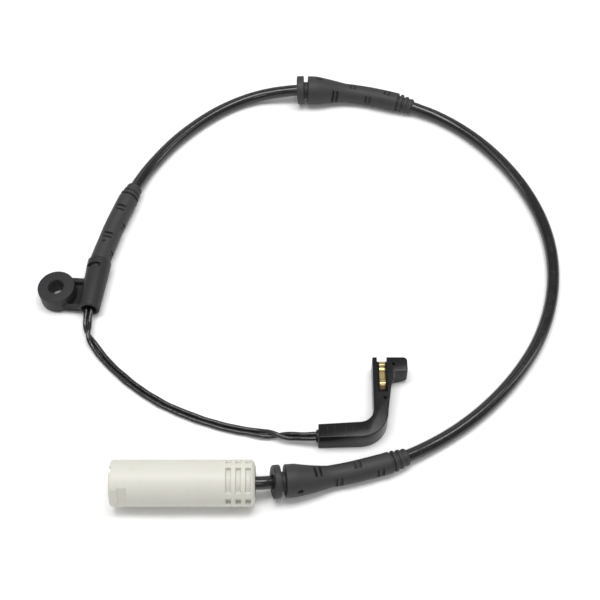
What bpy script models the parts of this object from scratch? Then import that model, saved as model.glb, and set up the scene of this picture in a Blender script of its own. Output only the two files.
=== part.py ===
"""Brake pad wear sensor on its harness, lying flat in one open loop.

Metres, +Z up, the floor at z = 0. A round plug stands at the start of a jacketed two-core cable. The
cable runs through a flanged grommet, round a wide arc, through a second grommet and into a ribbed boot,
whose end sits in the sleeve of an eyelet holder. From there the two cores run bare to the sensor head,
an L-shaped moulding with a spring clip in its fork and a loop of wire in its wear block.
"""

import bisect
import math

import bmesh
import bpy
from mathutils import Matrix, Vector

# Fits: the gap between pieces that seat in each other, and round the cable in its mouldings
FIT = 0.0003

# Cable and cores
CABLE_D = 0.0048
CORE_D = 0.0017
CORE_PITCH = 0.0020
CABLE_STEP = 0.0085
CORE_STEP = 0.0025

# Plug housing, measured from its front rim
HOUSING_D = 0.0165
HOUSING_L = 0.0508
HOUSING_WALL = 0.0019
CAVITY_DEPTH = 0.0240
REAR_BORE_D = 0.0104
RIM_CHAMFER = 0.0004
RIM_ROUND = 0.0009
REAR_TAPER = 0.0014
REAR_FACE_D = 0.0119
GROOVE_WIDTH = 0.0018
GROOVE_DEPTH = 0.0013
GROOVE_PITCH = 0.00345
GROOVE_COUNT = 3
END_COLLAR = 0.0015
GRIP_TURN = math.radians(18.5)
GRIP_SPREAD = math.radians(32.5)
SIDE_GRIP_TURN = math.radians(60)
SIDE_GRIP_SPREAD = math.radians(10.5)
LATCH_TURN = math.radians(66)
LATCH_WIDTH = 0.0084
LATCH_LENGTH = 0.0062
LATCH_DEPTH = 0.0006
LATCH_STEP_AT = 0.0030
LATCH_STEP = 0.00035
KEY_TURN = math.radians(-11)
KEY_WIDTH = 0.0026
KEY_DEPTH = 0.0006

# Contact carrier, contacts and seal inside the plug
CARRIER_D = 0.0098
CARRIER_RECESS = 0.0045
CARRIER_FLANGE = 0.0020
CARRIER_NECK = 0.0050
CONTACT_PITCH = 0.0046
SOCKET_WALL = 0.00045
SOCKET_BORE_D = 0.0016
SOCKET_LENGTH = 0.0100
CRIMP_WALL = 0.0004
CRIMP_LENGTH = 0.0060
CONTACT_RECESS = 0.0008
SEAL_LENGTH = 0.0085
SEAL_RECESS = 0.0010
SEAL_LIP = 0.0004
JACKET_IN_PLUG = 0.0125

# Grommet, measured from the outer face of its flange
FLANGE_D = 0.0120
FLANGE_WIDTH = 0.0027
NECK_D = 0.0069
NECK_WIDTH = 0.0016
SHOULDER_D = 0.0119
SHOULDER_WIDTH = 0.0035
TAPER_LENGTH = 0.0125
BODY_D = 0.0079
GROMMET_BODY_END = 0.0433
EDGE = 0.0004
FIRST_POCKET = 0.0157
GROMMET_POCKET_PITCH = 0.0076
DIMPLE_AT = 0.0090
DIMPLE_D = 0.0018
DIMPLE_DEPTH = 0.0012
GROMMET_TURN = math.radians(-17)

# Pockets and end ribs, the same on both grommets and on the boot
POCKET_COUNT = 4
POCKET_WIDTH = 0.0028
POCKET_ACROSS = 0.0036
POCKET_FLARE = 1.2
POCKET_SKIN = 0.0002
POCKET_BAR = 0.0009
POCKET_BAR_DROP = 0.0004
RIB_COUNT = 3
RIB_WIDTH = 0.0014
RIB_GAP = 0.0007
RIB_ROOT = 0.0003
RIB_LAST = 0.0002
RIB_STEP = 0.00033
RIB_EDGE = 0.0003

# Boot, measured from the mouth of the holder's sleeve
BOOT_BODY = 0.0326
BOOT_FIRST_POCKET = 0.0040
BOOT_POCKET_PITCH = 0.0072
TAIL_D = 0.0067
TAIL_LENGTH = 0.0065

# Eyelet holder: sleeve, ring and the web between them
SLEEVE_D = 0.0093
SLEEVE_END_D = 0.0081
SLEEVE_LENGTH = 0.0221
SLEEVE_BORE_D = 0.0056
SLEEVE_CHAMFER = 0.0005
WINDOW_AT = 0.0038
WINDOW_WIDTH = 0.0019
WINDOW_SPREAD = math.radians(50)
WINDOW_TURN = math.radians(25)
EYELET_D = 0.01435
EYELET_HOLE_D = 0.0062
EYELET_HEIGHT = 0.0071
EYELET_DROP = 0.0030
EYELET_ALONG = 0.01497
EYELET_ASIDE = 0.01366
WEB_THICKNESS = 0.0032
WEB_FAR = 0.0083
WEB_NEAR = 0.0215
WEB_FAR_RIM = 0.0016
WEB_NEAR_RIM = 0.0012
WEB_FLOOR = 0.0010
CORING_START = 0.0020
CORING_END = 0.0110
HOLDER_ROLL = math.radians(4.5)
JACKET_IN_SLEEVE = 0.0100

# Sensor head, measured from the corner where the bar's outer side meets its wire end
HEAD_HEIGHT = 0.0086
BAR_WIDTH = 0.00545
BAR_LENGTH = 0.0202
OUTER_RISE = 0.0004
INNER_RISE = 0.00095
BEND_WIDTH = 0.00535
ARM_LENGTH = 0.0334
ARM_TIP_WIDTH = 0.0072
BEND_RADIUS = 0.0053
HEAD_EDGE = 0.0003
BLOCK_REACH = 0.0058
BLOCK_DEPTH = 0.0061
BLOCK_FILLET = 0.0020
BLOCK_CORNER = 0.0015
BLOCK_SLOPE_LENGTH = 0.0036
BLOCK_SLOPE_RISE = 0.0022
FORK_WALL = 0.0017
SLOT_WIDTH = 0.0036
SLOT_LENGTH = 0.0146
SLOT_DEPTH = 0.0034
HOOK_POCKET_LENGTH = 0.0019
HOOK_POCKET_DEPTH = 0.0012
ENTRY_BOSS_LENGTH = 0.0008
PIN_MARK_D = 0.0013
PIN_MARK_DEPTH = 0.0010

# Spring clip in the fork and wire loop in the wear block
CLIP_WIDTH = 0.0024
CLIP_SHIFT = 0.00025
CLIP_THICKNESS = 0.0003
CLIP_CREST = 0.0017
CLIP_REAR_CREST = 0.0014
LOOP_D = 0.0012
LOOP_PITCH = 0.0020
LOOP_Z = 0.0024
LOOP_END = 0.0024
CORE_IN_HEAD = 0.0020

# Where the pieces lie on the floor: the plug's rear face, the sleeve's mouth and the head's corner
PLUG_REAR = (0.0100, -0.0912)
SLEEVE_MOUTH = (-0.0529, 0.0054)
SLEEVE_YAW = math.radians(-96.3)
HEAD_CORNER = (0.0322, -0.07345)

# The cable's way from the plug to the sleeve, and the cores' way from the sleeve to the head
CABLE_POINTS = (
    (0.0150, -0.0905, 0.0074),
    (0.0221, -0.0895, 0.0065),
    (0.0291, -0.0884, 0.0054),
    (0.0363, -0.0868, 0.0044),
    (0.0434, -0.0852, 0.0041),
    (0.0506, -0.0833, 0.0041),
    (0.0578, -0.0811, 0.0040),
    (0.0634, -0.0788, 0.0036),
    (0.0735, -0.0734, 0.0027),
    (0.0811, -0.0686, 0.0025),
    (0.0907, -0.0612, 0.0025),
    (0.0989, -0.0533, 0.0025),
    (0.1077, -0.0427, 0.0025),
    (0.1150, -0.0313, 0.0025),
    (0.1208, -0.0178, 0.0025),
    (0.1242, -0.0037, 0.0025),
    (0.1251, 0.0104, 0.0025),
    (0.1235, 0.0243, 0.0025),
    (0.1187, 0.0398, 0.0025),
    (0.1105, 0.0552, 0.0025),
    (0.1000, 0.0685, 0.0025),
    (0.0882, 0.0788, 0.0025),
    (0.0821, 0.0825, 0.0028),
    (0.0765, 0.0850, 0.0032),
    (0.0702, 0.0874, 0.0038),
    (0.0612, 0.0903, 0.0040),
    (0.0512, 0.0928, 0.0040),
    (0.0410, 0.0936, 0.0049),
    (0.0333, 0.0935, 0.0059),
    (0.0246, 0.0935, 0.0061),
    (0.0170, 0.0936, 0.0049),
    (0.0085, 0.0929, 0.0033),
    (-0.0021, 0.0889, 0.0025),
    (-0.0105, 0.0835, 0.0025),
    (-0.0188, 0.0764, 0.0025),
    (-0.0260, 0.0688, 0.0025),
    (-0.0328, 0.0597, 0.0025),
    (-0.0376, 0.0518, 0.0028),
    (-0.0413, 0.0436, 0.0036),
    (-0.0439, 0.0368, 0.0041),
    (-0.0464, 0.0295, 0.0041),
    (-0.0487, 0.0225, 0.0041),
    (-0.0506, 0.0150, 0.0043),
)
CORE_POINTS = (
    (-0.0556, -0.0210, 0.0038),
    (-0.0549, -0.0266, 0.0026),
    (-0.0517, -0.0320, 0.0015),
    (-0.0470, -0.0378, 0.0010),
    (-0.0421, -0.0429, 0.0010),
    (-0.0367, -0.0477, 0.0010),
    (-0.0305, -0.0524, 0.0010),
    (-0.0233, -0.0568, 0.0010),
    (-0.0161, -0.0602, 0.0010),
    (-0.0090, -0.0630, 0.0010),
    (-0.0018, -0.0653, 0.0010),
    (0.0056, -0.0670, 0.0012),
    (0.0112, -0.0682, 0.0017),
    (0.0165, -0.0691, 0.0023),
    (0.0220, -0.0700, 0.0029),
    (0.0270, -0.0706, 0.0038),
)
CORE_TWISTS = ((0.0165, 0.0110), (0.1020, 0.0130))
STUB_LENGTH = 0.0062
RIGHT_RUN = 0.2117

TURN_STEPS = 24
PLUG_STEPS = 40
WIRE_RESOLUTION = 2
SPAN_SAMPLES = 16

# Sizes that follow from the ones above
CABLE_R = CABLE_D / 2
CABLE_BORE_R = CABLE_R + FIT
HOUSING_R = HOUSING_D / 2
CAVITY_R = HOUSING_R - HOUSING_WALL
REAR_BORE_R = REAR_BORE_D / 2
CRIMP_R = CORE_D / 2 + FIT + CRIMP_WALL
SOCKET_R = SOCKET_BORE_D / 2 + SOCKET_WALL
SLEEVE_R = SLEEVE_D / 2
RIB_PITCH = RIB_WIDTH + RIB_GAP
RIBS_LENGTH = RIB_COUNT * RIB_PITCH
GROMMET_LENGTH = GROMMET_BODY_END + RIBS_LENGTH
SHOULDER_START = FLANGE_WIDTH + NECK_WIDTH
TAPER_START = SHOULDER_START + SHOULDER_WIDTH
SLOT_FLOOR = HEAD_HEIGHT - SLOT_DEPTH


def clear_scene():
    for obj in list(bpy.data.objects):
        bpy.data.objects.remove(obj)


def new_collection(name):
    collection = bpy.data.collections.new(name)
    bpy.context.scene.collection.children.link(collection)
    return collection


clear_scene()
PART = new_collection("Brake pad wear sensor")
CUTTERS = new_collection("Cutters")


def make_material(name, colour, roughness, metallic=0.0):
    material = bpy.data.materials.new(name)
    material.use_nodes = True
    shader = material.node_tree.nodes["Principled BSDF"]
    shader.inputs["Base Color"].default_value = (*colour, 1.0)
    shader.inputs["Roughness"].default_value = roughness
    shader.inputs["Metallic"].default_value = metallic
    return material


WHITE_PLASTIC = make_material("white plastic", (0.80, 0.80, 0.74), 0.45)
BLACK_PLASTIC = make_material("black plastic", (0.018, 0.018, 0.020), 0.50)
BLACK_RUBBER = make_material("black rubber", (0.020, 0.020, 0.022), 0.60)
CABLE_JACKET = make_material("cable jacket", (0.012, 0.012, 0.013), 0.25)
CORE_SLEEVING = make_material("core sleeving", (0.012, 0.012, 0.012), 0.20)
SEAL_RUBBER = make_material("seal rubber", (0.25, 0.07, 0.03), 0.60)
BRASS = make_material("brass", (0.72, 0.50, 0.22), 0.30, 1.0)
TINNED_BRASS = make_material("tinned brass", (0.70, 0.69, 0.66), 0.35, 1.0)


class Route:
    """A smooth curve through chosen points, read by the distance along it."""

    def __init__(self, points):
        knots = [Vector(point) for point in points]
        gaps = [(b - a).length for a, b in zip(knots, knots[1:])]
        chords = [(b - a) / gap for a, b, gap in zip(knots, knots[1:], gaps)]
        slopes = [chords[0]]
        for i in range(1, len(gaps)):
            share = gaps[i] / (gaps[i - 1] + gaps[i])
            slopes.append(chords[i].lerp(chords[i - 1], share))
        slopes.append(chords[-1])
        self.points = [knots[0]]
        for i, gap in enumerate(gaps):
            for step in range(1, SPAN_SAMPLES + 1):
                u = step / SPAN_SAMPLES
                from_first = knots[i] * (1 + 2 * u) + slopes[i] * (gap * u)
                from_second = knots[i + 1] * (3 - 2 * u) - slopes[i + 1] * (gap * (1 - u))
                self.points.append(from_first * (1 - u) ** 2 + from_second * u**2)
        self.marks = [0.0]
        for a, b in zip(self.points, self.points[1:]):
            self.marks.append(self.marks[-1] + (b - a).length)
        self.length = self.marks[-1]

    def heading(self, index):
        first = max(index - 1, 0)
        last = min(index + 1, len(self.points) - 1)
        return (self.points[last] - self.points[first]).normalized()

    def frame(self, distance):
        """The point there, the way the curve runs, and the directions to its left and up."""
        low = bisect.bisect_right(self.marks, distance) - 1
        low = min(max(low, 0), len(self.marks) - 2)
        share = (distance - self.marks[low]) / (self.marks[low + 1] - self.marks[low])
        point = self.points[low] + (self.points[low + 1] - self.points[low]) * share
        along = self.heading(low).lerp(self.heading(low + 1), min(max(share, 0), 1)).normalized()
        left = Vector((0, 0, 1)).cross(along).normalized()
        return point, along, left, along.cross(left)

    def read(self, start, end, step):
        """Points at even distances, no more than a step apart."""
        count = math.ceil((end - start) / step)
        return [self.frame(start + (end - start) * i / count)[0] for i in range(count + 1)]


def add_object(name, data, material, collection=None):
    obj = bpy.data.objects.new(name, data)
    (collection or PART).objects.link(obj)
    if material:
        data.materials.append(material)
    return obj


def as_cutter(obj):
    """Moves an object to the cutters, which shape other pieces and are no piece themselves."""
    for collection in list(obj.users_collection):
        collection.objects.unlink(obj)
    CUTTERS.objects.link(obj)
    obj.hide_render = True
    obj.display_type = "WIRE"
    return obj


def boolean(obj, other, operation):
    modifier = obj.modifiers.new(other.name, "BOOLEAN")
    modifier.operation = operation
    modifier.solver = "EXACT"
    modifier.object = as_cutter(other)


def bake(obj):
    """Gives the object its evaluated mesh, with its modifiers applied and its faces outwards."""
    graph = bpy.context.evaluated_depsgraph_get()
    mesh = bpy.data.meshes.new_from_object(obj.evaluated_get(graph), depsgraph=graph)
    obj.modifiers.clear()
    obj.data = mesh
    turn_out(mesh)
    return obj


def turn_out(mesh):
    bm = bmesh.new()
    bm.from_mesh(mesh)
    bmesh.ops.recalc_face_normals(bm, faces=bm.faces)
    bm.to_mesh(mesh)
    bm.free()


def shade(obj, angle=math.radians(35)):
    obj.data.shade_smooth()
    obj.data.set_sharp_from_angle(angle=angle)
    return obj


def turned(name, outline, material=None, steps=TURN_STEPS, closed=True):
    """Turns a line of (distance, radius) about X: closed round a bore, or with both ends on the axis."""
    mesh = bpy.data.meshes.new(name)
    corners = [(x, 0.0, radius) for x, radius in outline]
    edges = [(i, i + 1) for i in range(len(corners) - 1)]
    if closed:
        edges.append((len(corners) - 1, 0))
    mesh.from_pydata(corners, edges, [])
    obj = add_object(name, mesh, material)
    screw = obj.modifiers.new("turn", "SCREW")
    screw.axis = "X"
    screw.steps = steps
    screw.render_steps = steps
    screw.use_merge_vertices = True
    screw.merge_threshold = 1e-6
    return bake(obj)


def loft(name, rings, material=None):
    """Joins rings of like points into one closed solid."""
    bm = bmesh.new()
    rows = [[bm.verts.new(point) for point in ring] for ring in rings]
    count = len(rows[0])
    for lower, upper in zip(rows, rows[1:]):
        for i in range(count):
            j = (i + 1) % count
            bm.faces.new((lower[i], lower[j], upper[j], upper[i]))
    bm.faces.new(rows[0])
    bm.faces.new(rows[-1])
    bmesh.ops.recalc_face_normals(bm, faces=bm.faces)
    mesh = bpy.data.meshes.new(name)
    bm.to_mesh(mesh)
    bm.free()
    return add_object(name, mesh, material)


def plate(name, outline, low, high, material=None):
    """A flat outline in plan, drawn up from one height to another."""
    return loft(name, [[(x, y, z) for x, y in outline] for z in (low, high)], material)


def block(name, low, high, material=None):
    (x0, y0, z0), (x1, y1, z1) = low, high
    return plate(name, [(x0, y0), (x1, y0), (x1, y1), (x0, y1)], z0, z1, material)


def joined(name, objects):
    """One mesh that holds several, as loose shells."""
    bm = bmesh.new()
    for obj in objects:
        obj.data.transform(obj.matrix_basis)
        bm.from_mesh(obj.data)
        bpy.data.objects.remove(obj)
    mesh = bpy.data.meshes.new(name)
    bm.to_mesh(mesh)
    bm.free()
    return add_object(name, mesh, None)


def arc(centre, radius, start, end, steps):
    """Points on a round, from one angle in degrees to another."""
    angles = [math.radians(start + (end - start) * i / steps) for i in range(steps + 1)]
    return [(centre[0] + radius * math.cos(a), centre[1] + radius * math.sin(a)) for a in angles]


def run(start, end, step=0.0045):
    """Points from start up to end, without end, close enough to bend with a cable."""
    count = max(1, math.ceil(math.dist(start, end) / step))
    return [
        (start[0] + (end[0] - start[0]) * i / count, start[1] + (end[1] - start[1]) * i / count)
        for i in range(count)
    ]


def bend(obj, route, start, way=1):
    """Lays a piece made along X on a route, its origin at a distance and its +X with or against the way."""
    for vertex in obj.data.vertices:
        x, y, z = vertex.co
        point, _, left, up = route.frame(start + way * x)
        vertex.co = point + left * (way * y) + up * z
    obj.data.update()
    return obj


def tube(name, points, diameter, material, resolution=WIRE_RESOLUTION):
    curve = bpy.data.curves.new(name, "CURVE")
    curve.dimensions = "3D"
    curve.bevel_depth = diameter / 2
    curve.bevel_resolution = resolution
    curve.use_fill_caps = True
    spline = curve.splines.new("POLY")
    spline.points.add(len(points) - 1)
    for point, place in zip(spline.points, points):
        point.co = (*place, 1.0)
    return add_object(name, curve, material)


def ease(share):
    share = min(max(share, 0.0), 1.0)
    return share * share * (3 - 2 * share)


def twist(distance):
    """How far the two cores have turned round each other, half a turn at each crossing."""
    return sum(math.pi * ease((distance - start) / length) for start, length in CORE_TWISTS)


# Routes

def cable_route():
    height = HOUSING_R
    rear_x, rear_y = PLUG_REAR
    in_plug = [(rear_x + x, rear_y, height) for x in (-JACKET_IN_PLUG, -JACKET_IN_PLUG / 2, 0, 0.0015)]
    in_sleeve = [sleeve_point(JACKET_IN_SLEEVE * share) for share in (0, 0.5, 1)]
    return Route([*in_plug, *CABLE_POINTS, *in_sleeve])


def sleeve_point(distance):
    x, y = SLEEVE_MOUTH
    return (x + distance * math.cos(SLEEVE_YAW), y + distance * math.sin(SLEEVE_YAW), SLEEVE_R)


def head_point(x, y, z):
    return (HEAD_CORNER[0] + x, HEAD_CORNER[1] + y, z)


def core_route():
    first = JACKET_IN_SLEEVE + FIT
    in_sleeve = [sleeve_point(first + (SLEEVE_LENGTH - first) * share) for share in (0, 0.45, 0.9)]
    into_head = [
        head_point(x, BAR_WIDTH / 2, HEAD_HEIGHT / 2) for x in (-ENTRY_BOSS_LENGTH, CORE_IN_HEAD)
    ]
    return Route([*in_sleeve, *CORE_POINTS, *into_head])


def bend_centres():
    """The middles of the head's outer and inner rounds, where the bar turns into the arm."""
    x = BAR_LENGTH - BEND_RADIUS
    return (x, OUTER_RISE + BEND_WIDTH + BEND_RADIUS), (x, BAR_WIDTH + INNER_RISE + BEND_RADIUS)


def loop_route():
    """The middle line of the wire channel, from the bar's end round the bend and into the wear block."""
    entry = BAR_WIDTH / 2
    middle = BEND_WIDTH / 2
    (x, outer_y), (_, inner_y) = bend_centres()
    corner = arc((x, (outer_y + inner_y) / 2), BEND_RADIUS + middle, -90, 0, 3)
    fall = [HEAD_HEIGHT / 2 + (LOOP_Z - HEAD_HEIGHT / 2) * share for share in (0.35, 0.7, 0.95, 1)]
    turn_y = ARM_LENGTH - BLOCK_DEPTH / 2
    arm_x = BAR_LENGTH + middle
    points = [head_point(x, entry, HEAD_HEIGHT / 2) for x in (-ENTRY_BOSS_LENGTH, 2 * CORE_IN_HEAD)]
    points += [head_point(x, y, z) for (x, y), z in zip(corner, fall)]
    points += [
        head_point(arm_x + 0.0006, turn_y - 0.0100, LOOP_Z),
        head_point(arm_x + 0.0012, turn_y - 0.0052, LOOP_Z),
        head_point(arm_x + 0.0026, turn_y - 0.0018, LOOP_Z),
        head_point(arm_x + 0.0052, turn_y, LOOP_Z),
        head_point(BAR_LENGTH + ARM_TIP_WIDTH + BLOCK_REACH - LOOP_END, turn_y, LOOP_Z),
    ]
    return Route(points)


# Plug

def place_in_plug(obj, distance=0.0, aside=0.0):
    """Puts a piece made along X on the plug's axis, at a distance from its front rim."""
    obj.location = (PLUG_REAR[0] - HOUSING_L + distance, PLUG_REAR[1] + aside, HOUSING_R)
    return obj


def grip_window(middle, turn, spread):
    """The curved cutter of one window of a groove, spread to both sides of an angle."""
    inner = HOUSING_R - GROOVE_DEPTH
    outer = HOUSING_R + GROOVE_DEPTH
    section = [(-1, inner), (1, inner), (1, outer), (-1, outer)]
    steps = max(2, round(10 * spread))
    rings = []
    for i in range(steps + 1):
        angle = turn + spread * (2 * i / steps - 1)
        ring = []
        for side, radius in section:
            along = middle + side * GROOVE_WIDTH / 2
            ring.append((along, -radius * math.sin(angle), radius * math.cos(angle)))
        rings.append(ring)
    return loft("grip window", rings)


def grip_groove(middle):
    """The windows of one groove: a wide one and a narrow one at each side of it, on both mould halves."""
    windows = []
    for half_turn in (0, math.pi):
        turn = GRIP_TURN + half_turn
        windows.append(grip_window(middle, turn, GRIP_SPREAD))
        for side in (-1, 1):
            windows.append(grip_window(middle, turn + side * SIDE_GRIP_TURN, SIDE_GRIP_SPREAD))
    return windows


def rim_cuts():
    """The flat latch recess with its deeper step, and the key notch, at the plug's front rim."""
    over = RIM_CHAMFER + GROOVE_DEPTH
    flat = HOUSING_R - LATCH_DEPTH
    line = [
        (-over, HOUSING_R + over),
        (-over, flat),
        (LATCH_STEP_AT, flat),
        (LATCH_STEP_AT, flat - LATCH_STEP),
        (LATCH_LENGTH, flat - LATCH_STEP),
        (LATCH_LENGTH, HOUSING_R + over),
    ]
    sides = (-LATCH_WIDTH / 2, LATCH_WIDTH / 2)
    recess = loft("latch recess", [[(x, y, z) for x, z in line] for y in sides])
    recess.rotation_euler.x = LATCH_TURN
    notch = block(
        "key notch",
        (-over, -KEY_WIDTH / 2, CAVITY_R / 2),
        (KEY_DEPTH, KEY_WIDTH / 2, HOUSING_R + over),
    )
    notch.rotation_euler.x = KEY_TURN
    return [recess, notch]


def make_housing():
    edge = RIM_CHAMFER
    fall = HOUSING_R - REAR_FACE_D / 2
    housing = turned(
        "plug_housing",
        [
            (0, HOUSING_R - RIM_ROUND),
            (0.3 * RIM_ROUND, HOUSING_R - 0.3 * RIM_ROUND),
            (RIM_ROUND, HOUSING_R),
            (HOUSING_L - REAR_TAPER, HOUSING_R),
            (HOUSING_L - 0.4 * REAR_TAPER, HOUSING_R - 0.35 * fall),
            (HOUSING_L, HOUSING_R - fall),
            (HOUSING_L, REAR_BORE_R + edge),
            (HOUSING_L - edge, REAR_BORE_R),
            (CAVITY_DEPTH, REAR_BORE_R),
            (CAVITY_DEPTH, CAVITY_R),
            (edge, CAVITY_R),
            (0, CAVITY_R + edge),
        ],
        WHITE_PLASTIC,
        PLUG_STEPS,
    )
    grooves = []
    for number in range(GROOVE_COUNT):
        middle = HOUSING_L - END_COLLAR - GROOVE_WIDTH / 2 - number * GROOVE_PITCH
        grooves += grip_groove(middle)
    boolean(housing, joined("grip grooves", grooves), "DIFFERENCE")
    for cutter in rim_cuts():
        boolean(housing, joined(cutter.name + " cutter", [cutter]), "DIFFERENCE")
    place_in_plug(shade(bake(housing)))


def contact_bore(side):
    """The stepped bore that holds one contact, wider behind for its crimp."""
    front = CARRIER_RECESS + CONTACT_RECESS
    step = front + SOCKET_LENGTH - FIT
    bore = turned(
        "contact bore",
        [
            (CARRIER_RECESS - FIT, 0),
            (CARRIER_RECESS - FIT, SOCKET_R + FIT),
            (step, SOCKET_R + FIT),
            (step, CRIMP_R + FIT),
            (CAVITY_DEPTH + CARRIER_NECK + FIT, CRIMP_R + FIT),
            (CAVITY_DEPTH + CARRIER_NECK + FIT, 0),
        ],
        steps=16,
        closed=False,
    )
    bore.data.transform(Matrix.Translation((0, side * CONTACT_PITCH / 2, 0)))
    return bore


def make_carrier():
    radius = CARRIER_D / 2
    floor = CAVITY_DEPTH - FIT
    carrier = turned(
        "contact_carrier",
        [
            (CARRIER_RECESS, 0),
            (CARRIER_RECESS, radius - EDGE),
            (CARRIER_RECESS + EDGE, radius),
            (floor - CARRIER_FLANGE, radius),
            (floor - CARRIER_FLANGE, CAVITY_R - FIT),
            (floor, CAVITY_R - FIT),
            (floor, REAR_BORE_R - FIT),
            (CAVITY_DEPTH + CARRIER_NECK, REAR_BORE_R - FIT),
            (CAVITY_DEPTH + CARRIER_NECK, 0),
        ],
        WHITE_PLASTIC,
        closed=False,
    )
    for side in (-1, 1):
        boolean(carrier, contact_bore(side), "DIFFERENCE")
    place_in_plug(shade(bake(carrier)))


def make_contacts():
    """Two tinned contacts: a socket in front, a solid web, and a crimp barrel on the core behind."""
    length = SOCKET_LENGTH + CRIMP_LENGTH
    web = CRIMP_LENGTH / 4
    for number, side in enumerate((-1, 1), start=1):
        contact = turned(
            f"contact_{number}",
            [
                (SOCKET_LENGTH - web, 0),
                (SOCKET_LENGTH - web, SOCKET_BORE_D / 2),
                (0, SOCKET_BORE_D / 2),
                (0, SOCKET_R),
                (SOCKET_LENGTH, SOCKET_R),
                (SOCKET_LENGTH, CRIMP_R),
                (length, CRIMP_R),
                (length, CRIMP_R - CRIMP_WALL),
                (SOCKET_LENGTH + web, CRIMP_R - CRIMP_WALL),
                (SOCKET_LENGTH + web, 0),
            ],
            TINNED_BRASS,
            steps=12,
            closed=False,
        )
        place_in_plug(shade(contact), CARRIER_RECESS + CONTACT_RECESS, side * CONTACT_PITCH / 2)


def make_plug_cores():
    """The cores between the cable's end and the crimps, spreading to the contacts' pitch."""
    first = CARRIER_RECESS + CONTACT_RECESS + SOCKET_LENGTH + CRIMP_LENGTH / 4 + FIT
    last = HOUSING_L - JACKET_IN_PLUG - FIT
    straight = (last - first) / 3
    for number, side in enumerate((-1, 1), start=1):
        points = Route(
            [
                (first, side * CONTACT_PITCH / 2, 0),
                (first + 1.5 * straight, side * CONTACT_PITCH / 2, 0),
                (last - 0.5 * straight, side * CORE_PITCH / 2, 0),
                (last, side * CORE_PITCH / 2, 0),
            ]
        )
        line = points.read(0, points.length, CORE_STEP)
        place_in_plug(tube(f"plug_core_{number}", line, CORE_D, CORE_SLEEVING))


def make_seal():
    """A rubber seal round the cable, with three lips against the housing's bore."""
    root = REAR_BORE_R - FIT - SEAL_LIP
    tip = REAR_BORE_R - FIT
    pitch = SEAL_LENGTH / 3
    outer = []
    for number in range(3):
        start = number * pitch
        outer += [(start, root), (start + pitch * 0.25, tip), (start + pitch * 0.6, tip)]
    outer.append((SEAL_LENGTH, root))
    bore = [(SEAL_LENGTH, CABLE_BORE_R), (0, CABLE_BORE_R)]
    seal = turned("cable_seal", outer + bore, SEAL_RUBBER)
    place_in_plug(shade(seal), HOUSING_L - SEAL_RECESS - SEAL_LENGTH)


# Grommets and boot

def rib_line(start):
    """The outer line of the end ribs, each a little smaller than the one before."""
    root = CABLE_BORE_R + RIB_ROOT
    line = []
    for number in range(RIB_COUNT):
        groove = start + number * RIB_PITCH
        rib = groove + RIB_GAP
        top = root + RIB_LAST + (RIB_COUNT - 1 - number) * RIB_STEP
        line += [
            (groove, root),
            (rib, root),
            (rib + RIB_EDGE / 2, top),
            (rib + RIB_WIDTH - RIB_EDGE, top),
            (rib + RIB_WIDTH, top - RIB_EDGE / 2),
        ]
    return line


def bore_line(start, end, radius):
    """The bore's line, from its far end back to its near one."""
    return run((end, radius), (start, radius)) + [(start, radius)]


def pocket(at, radius, turn):
    """The cutter of one pocket down to a skin round the cable, a low bar left standing in its middle."""
    half = POCKET_WIDTH / 2
    bar = POCKET_BAR / 2
    floor = CABLE_BORE_R + POCKET_SKIN
    bar_top = radius - POCKET_BAR_DROP
    over = radius + POCKET_WIDTH
    across = POCKET_ACROSS / 2 + POCKET_FLARE * (radius - BODY_D / 2)
    line = [
        (-half, over),
        (-half, floor),
        (-bar, floor),
        (-bar, bar_top),
        (bar, bar_top),
        (bar, floor),
        (half, floor),
        (half, over),
    ]
    cutter = loft("pocket", [[(at + x, y, z) for x, z in line] for y in (-across, across)])
    cutter.rotation_euler.x = turn
    return cutter


def dimple(at, radius, turn):
    bottom = radius - DIMPLE_DEPTH
    over = radius * 2
    cutter = turned(
        "dimple",
        [(bottom, 0), (bottom, DIMPLE_D / 2), (over, DIMPLE_D / 2), (over, 0)],
        steps=10,
        closed=False,
    )
    cutter.data.transform(Matrix.Translation((at, 0, 0)) @ Matrix.Rotation(-math.pi / 2, 4, "Y"))
    cutter.rotation_euler.x = turn
    return cutter


def taper_radius(at):
    """The grommet's outer radius at a distance from its flange's outer face."""
    share = min(max((at - TAPER_START) / TAPER_LENGTH, 0), 1)
    return (SHOULDER_D + (BODY_D - SHOULDER_D) * share) / 2


def cut_pockets(obj, places, turn):
    """Cuts a pair of pockets at each place, every second pair a quarter turn round."""
    cutters = []
    for number, (at, radius) in enumerate(places):
        for side in range(2):
            cutters.append(pocket(at, radius, turn + number % 2 * math.pi / 2 + side * math.pi))
    boolean(obj, joined(obj.name + " pockets", cutters), "DIFFERENCE")


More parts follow.
